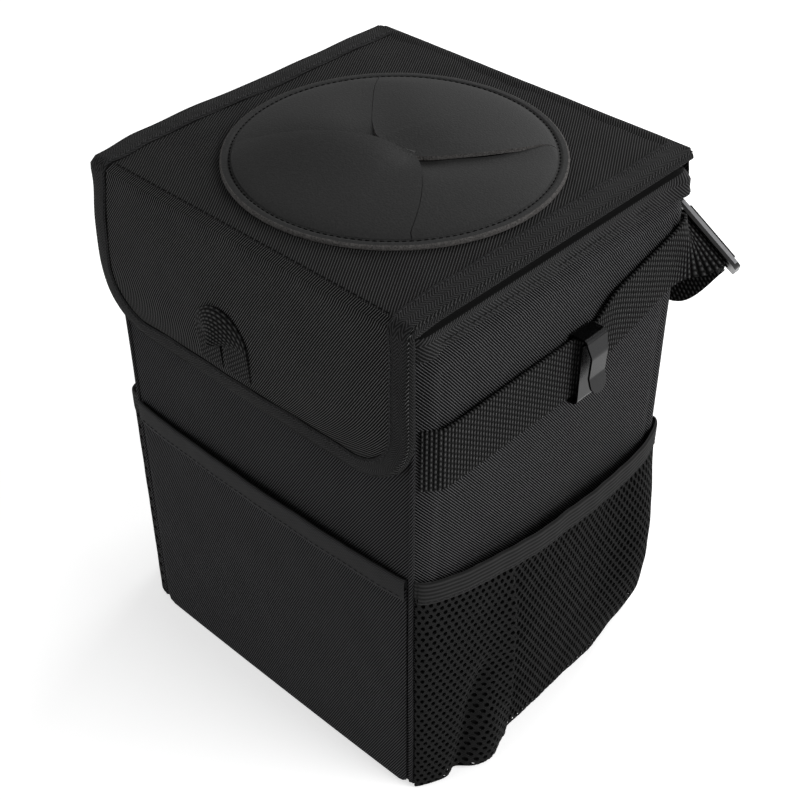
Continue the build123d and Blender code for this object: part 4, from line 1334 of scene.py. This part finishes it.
class BIN_OT_side_pockets(bpy.types.Operator):
    """Net pockets on both sides with their elastic tops."""

    bl_idname = "bin.side_pockets"
    bl_label = "Side pockets"

    def execute(self, context):
        sizes = context.scene.bin_sizes
        table = net_table()
        for name, face in (("right", 1), ("left", -1)):
            piece, length, tall = net_piece(name + "_net", face, sizes)
            dress(piece, "net", "bin", [name + "_mesh_pocket"])
            holes = math.pi / 4 * sizes.net_hole ** 2 * 1.25 / (sizes.net ** 2 * NET_ROW)
            area = length * tall * max(0.35, 1 - holes)
            sheet(piece, area)

            # Painted shade: a dark sheet just inside the net stands in for the shade in the pocket
            def back(u, v):
                share = u if face > 0 else 1 - u
                height = v * (NET_TOP + 1.0 + NET_CURL * 0.9) - NET_CURL * 0.9
                x, y, z = net_shape(table, share, height, NET_SWELL[face])
                return face * np.maximum(x - 1.3, HALF_WIDTH + 0.2), y, z + 0.25

            flat = (length, NET_TOP + NET_CURL)
            piece = cloth(name + "_net_back", (130, 70), flat, back)
            dress(piece, "net_back", "bin")
            sheet(piece)
            section = even_line([
                (0.7, NET_TOP - 0.8), (1.1, NET_TOP - 0.2), (1.15, NET_TOP + 1.0), (1.25, NET_TOP + 2.2),
                (1.3, ELASTIC_TOP - 1.5), (1.0, ELASTIC_TOP - 0.3), (0.2, ELASTIC_TOP),
                (-0.5, ELASTIC_TOP - 0.5), (-0.6, ELASTIC_TOP - 2), (-0.6, NET_TOP + 2)], 40)

            def band(u, v):
                share = u if face > 0 else 1 - u
                cut = at(section, v)
                x, y, _ = net_shape(table, share, np.full(len(u), NET_TOP - 1.0), NET_SWELL[face])
                dip = mouth_lift(y) + 0.5 * ripple(y, y * 0, 70.0, 22)
                return face * (x + cut[:, 0]), y, cut[:, 1] + dip

            flat = (length, 25.0)
            piece = cloth(name + "_elastic", (240, 26), flat, band, thickness=0.4)
            dress(piece, "elastic", "bin", [name + "_pocket_elastic"])
            sheet(piece)
            share = np.linspace(0.01, 0.99, 240)
            sewn = share_near(section[:, 1], NET_TOP + 1.0, hidden=section[:, 0] < 0)
            row = np.stack(band(share, np.full(240, sewn)), axis=1)
            stitches(name + "_elastic_stitches", row, (face, 0.0, 0.0), sizes, "bin")
        return {"FINISHED"}


# Straps

def slide_axes():
    """Directions of the slide: along its bars, across them, and out of it."""
    turn = Matrix.Rotation(SLIDE_TURN, 3, "Y") @ Matrix.Rotation(SLIDE_LEAN, 3, "X")
    return [np.array(turn @ Vector(axis)) for axis in ((1, 0, 0), (0, 1, 0), (0, 0, 1))]


def slide_point(across, out):
    """A point beside the slide, measured across its bars and out of it."""
    _, v, w = slide_axes()
    return SLIDE_CENTRE + v * across + w * out


def leaning(turn):
    """Where the strap's width points when it is turned that far about its run."""
    return np.array([-math.sin(math.radians(turn)), 0.0, math.cos(math.radians(turn))])


class BIN_OT_straps(bpy.types.Operator):
    """Webbing: side strap, long strap behind the bin and the pull loop."""

    bl_idname = "bin.straps"
    bl_label = "Straps"

    def execute(self, context):
        u, v, _ = slide_axes()
        upright = leaning(0.0)
        rise_end = np.array([STRAP_X, 81.8, STRAP_Z + 22.0])
        slide_foot = slide_point(-11.5, -6.5)
        stations = [
            ((HALF_WIDTH + 0.75, -HALF_DEPTH + 2.2, STRAP_Z), upright),
            ((93.4, -77.0, STRAP_Z), upright),
        ]
        for y, rise in (
                (-70.0, 0.0), (-30.0, 0.0), (6.0, 0.0), (18.0, 1.0), (30.0, 9.0), (50.0, 14.6),
                (72.8, 20.5)):
            stations.append(((STRAP_X, y, STRAP_Z + rise), upright))
        stations += [
            (rise_end, leaning(11.7)),
            ((rise_end + slide_foot) / 2, leaning(35.0)),
            (slide_foot, leaning(54.0)),
        ]
        for a, b in ((-10.2, -3.6), (-8.4, -2.4), (-7.1, -0.6), (-7.3, 1.6)):
            stations.append((slide_point(a, b), -u))
        line = smooth_line([(*place, *lean) for place, lean in stations], 260)
        piece, length = ribbon("right_strap_webbing", line[:, :3], line[:, 3:], STRAP_WIDTH, WEBBING_THICK)
        dress(piece, "webbing", "bin", ["right_strap"])
        sheet(piece)
        weave = [
            (18, -4.65), (8, -4.65), (0, -4.65), (-2.7, -4.3), (-3.75, -2.8), (-3.8, 0.0), (-3.4, 1.9),
            (-1.8, 2.6), (0.6, 2.6), (2.8, 2.3), (4.3, 1.2), (5.5, 0), (6.7, -1.4), (8.6, -2.5), (12, -2.6),
            (18, -2.55), (22, -2.55)]
        stations = [(slide_point(a, b), -u) for a, b in weave]
        stations.append((slide_point(22, -2.55) + v * 10, leaning(52.6)))
        stations += [(place, leaning(turn)) for place, turn in (
            ((66, 118, 177), 35.0), ((40.9, 115.9, 180), 17.5), ((3.6, 109.9, 187), 6.0))]
        left = -LEFT_STRAP_X
        for x, y, z in (
                (-44.5, 101.2, 197), (-81, 92.4, STRAP_Z), (-90, 88, STRAP_Z), (left, 72.8, STRAP_Z),
                (left, 20.0, STRAP_Z), (left, -30.0, STRAP_Z), (left, -70.0, STRAP_Z),
                (left + 0.4, -77.0, STRAP_Z), (-HALF_WIDTH - 0.75, -HALF_DEPTH + 2.2, STRAP_Z)):
            stations.append(((x, y, z), upright))
        line = smooth_line([(*place, *lean) for place, lean in stations], 520)
        piece, length = ribbon("long_strap_webbing", line[:, :3], line[:, 3:], STRAP_WIDTH, WEBBING_THICK)
        dress(piece, "webbing", "bin", ["long_strap"])
        sheet(piece)
        middle = (LOOP_LOW.x + LOOP_HIGH.x) / 2
        outer = (LOOP_HIGH.x - LOOP_LOW.x) / 2 - 0.4
        inner = 1.2
        crown = LOOP_HIGH.z - outer - 0.4
        foot = LOOP_LOW.z

        def hood(u, v):
            reach = outer + (inner - outer) * v
            turn = np.pi * np.clip((u - 0.25) / 0.5, 0, 1)
            leg = np.clip(np.minimum(u, 1 - u) / 0.25, 0, 1)
            x = middle - reach * np.cos(turn)
            z = foot + (crown - foot) * leg + reach * np.sin(turn) * np.where(leg < 1, 0, 1)
            bow = 7.6 * np.clip(v, 0, 1) ** 0.8 * np.sin(turn) ** 0.7 + 1.2 * leg
            return x, FLAP_OUT - 0.9 - bow, z

        length = math.pi * (outer + inner) / 2 + 2 * (crown - foot)
        piece = cloth("pull_loop_webbing", (60, 14), (length, outer - inner), hood)
        modify(piece, "SOLIDIFY", thickness=1.2 * MM, offset=0.0)
        dress(piece, "loop_webbing", "flap", ["pull_loop"])
        sheet(piece)
        return {"FINISHED"}


class BIN_OT_hard_parts(bpy.types.Operator):
    """Finishes of the slide, the clip and the boards."""

    bl_idname = "bin.hard_parts"
    bl_label = "Hard parts"

    def execute(self, context):
        finishes = {"strap_slide": "plastic", "side_clip": "steel"}
        for name in ("front", "back", "left", "right", "base", "lid"):
            finishes[name + "_board"] = "board"
        for name, material in finishes.items():
            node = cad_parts[name]
            node.data.materials.clear()
            node.data.materials.append(MATERIALS[material])
        return {"FINISHED"}


# Stage: the floor's own glow, and the white surround as the camera sees it and as it lights the bin
FLOOR_GLOW = 0.55
SEEN_LEVEL = 0.78
LIGHT_LEVEL = 0.22

# Each lamp's place, aim, width and power in watts
LAMPS = {
    "key": ((1.2, 0.35, 0.75), (0.0, 0.0, 0.13), 0.8, 15.0),
    "fill": ((-0.5, -1.3, 0.5), (0.0, 0.0, 0.13), 1.0, 8.5),
    "top": ((-0.1, 1.15, 0.72), (0.0, 0.0, 0.2), 0.6, 10.5),
}
CAMERA_PLACE = (0.3665, -0.3864, 0.5629)
CAMERA_AIM = (0.0, 0.0, 0.1325)
CAMERA_ROLL = math.radians(-0.29)
CAMERA_LENS = 65.1
CAMERA_SHIFT = 0.004


def aimed(place, aim):
    """Turn of a lamp or camera that looks from a place to its aim."""
    return (Vector(aim) - Vector(place)).to_track_quat("-Z", "Y")


def seen(tree):
    """1 on rays that reach the picture directly, by a gloss or through something clear."""
    path = tree.nodes.new("ShaderNodeLightPath")
    direct = maths(tree, "ADD", path.outputs["Is Camera Ray"], path.outputs["Is Glossy Ray"])
    return maths(tree, "ADD", direct, path.outputs["Is Transmission Ray"])


def add_lamp(name, place, aim, size, watts):
    """A large soft lamp."""
    lamp = bpy.data.lights.new(name, "AREA")
    lamp.shape = "RECTANGLE"
    lamp.size = lamp.size_y = size
    lamp.energy = watts
    holder = bpy.data.objects.new(name, lamp)
    bpy.context.scene.collection.objects.link(holder)
    holder.location = place
    holder.rotation_euler = aimed(place, aim).to_euler()


class BIN_OT_stage(bpy.types.Operator):
    """Pale floor, soft lamps, white surround and the camera."""

    bl_idname = "bin.stage"
    bl_label = "Stage"

    def execute(self, context):
        scene = context.scene
        clear_selection()
        bpy.ops.mesh.primitive_plane_add(size=12.0, location=(0.0, 0.0, -0.0005))
        floor = bpy.context.object
        floor.name = "floor"
        material = bpy.data.materials.new("floor")
        material.use_nodes = True
        tree = material.node_tree
        shader = tree.nodes["Principled BSDF"]
        shader.inputs["Base Color"].default_value = (0.8, 0.8, 0.8, 1.0)
        shader.inputs["Roughness"].default_value = 0.9
        shader.inputs["Specular IOR Level"].default_value = 0.1
        glow = tree.nodes.new("ShaderNodeEmission")
        both = tree.nodes.new("ShaderNodeAddShader")
        tree.links.new(seen(tree), glow.inputs["Strength"])
        tree.links.new(shader.outputs[0], both.inputs[0])
        tree.links.new(glow.outputs[0], both.inputs[1])
        tree.links.new(both.outputs[0], tree.nodes["Material Output"].inputs["Surface"])
        glow.inputs["Color"].default_value = (FLOOR_GLOW, FLOOR_GLOW, FLOOR_GLOW, 1.0)
        floor.data.materials.append(material)
        world = bpy.data.worlds.new("studio")
        world.use_nodes = True
        scene.world = world
        tree = world.node_tree
        ground = tree.nodes["Background"]
        level = maths(tree, "ADD", maths(tree, "MULTIPLY", seen(tree), SEEN_LEVEL), LIGHT_LEVEL)
        tree.links.new(level, ground.inputs["Strength"])
        ground.inputs["Color"].default_value = (1.0, 1.0, 1.0, 1.0)
        for name, lamp in LAMPS.items():
            add_lamp(name, *lamp)
        camera = bpy.data.cameras.new("camera")
        camera.lens = CAMERA_LENS
        camera.sensor_width = 36.0
        camera.shift_x = CAMERA_SHIFT
        camera.clip_start = 0.01
        holder = bpy.data.objects.new("camera", camera)
        scene.collection.objects.link(holder)
        holder.location = CAMERA_PLACE
        turn = aimed(CAMERA_PLACE, CAMERA_AIM).to_matrix()
        holder.rotation_euler = (turn @ Matrix.Rotation(CAMERA_ROLL, 3, "Z")).to_euler()
        scene.camera = holder
        scene.view_settings.view_transform = "Standard"
        return {"FINISHED"}


class BIN_PT_panel(bpy.types.Panel):
    """Sizes, colours and the steps that make the bin."""

    bl_idname = "BIN_PT_panel"
    bl_label = "Car trash bin"
    bl_space_type = "VIEW_3D"
    bl_region_type = "UI"
    bl_category = "Bin"

    def draw(self, context):
        for group in (context.scene.bin_sizes, context.scene.bin_colours):
            box = self.layout.box()
            for key in group.__annotations__:
                box.prop(group, key)
        for step in STEPS:
            self.layout.operator(step.bl_idname)


STEPS = (BIN_OT_body, BIN_OT_rim, BIN_OT_lid, BIN_OT_disc, BIN_OT_front_pocket, BIN_OT_side_pockets,
         BIN_OT_straps, BIN_OT_hard_parts, BIN_OT_stage)
CLASSES = (BinSizes, BinColours, *STEPS, BIN_PT_panel)


def register():
    """Adds the classes and the scene's sizes and colours."""
    for kind in CLASSES:
        bpy.utils.register_class(kind)
    bpy.types.Scene.bin_sizes = PointerProperty(type=BinSizes)
    bpy.types.Scene.bin_colours = PointerProperty(type=BinColours)


def unregister():
    """Takes them away again."""
    del bpy.types.Scene.bin_colours
    del bpy.types.Scene.bin_sizes
    for kind in reversed(CLASSES):
        bpy.utils.unregister_class(kind)


def main():
    """Makes the bin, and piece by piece."""
    register()
    scene = bpy.context.scene
    make_materials(scene.bin_sizes, scene.bin_colours)
    bpy.ops.bin.body()
    bpy.ops.bin.rim()
    bpy.ops.bin.lid()
    bpy.ops.bin.disc()
    bpy.ops.bin.front_pocket()
    bpy.ops.bin.side_pockets()
    bpy.ops.bin.straps()
    bpy.ops.bin.hard_parts()
    bpy.ops.bin.stage()


if __name__ == "__main__":
    main()
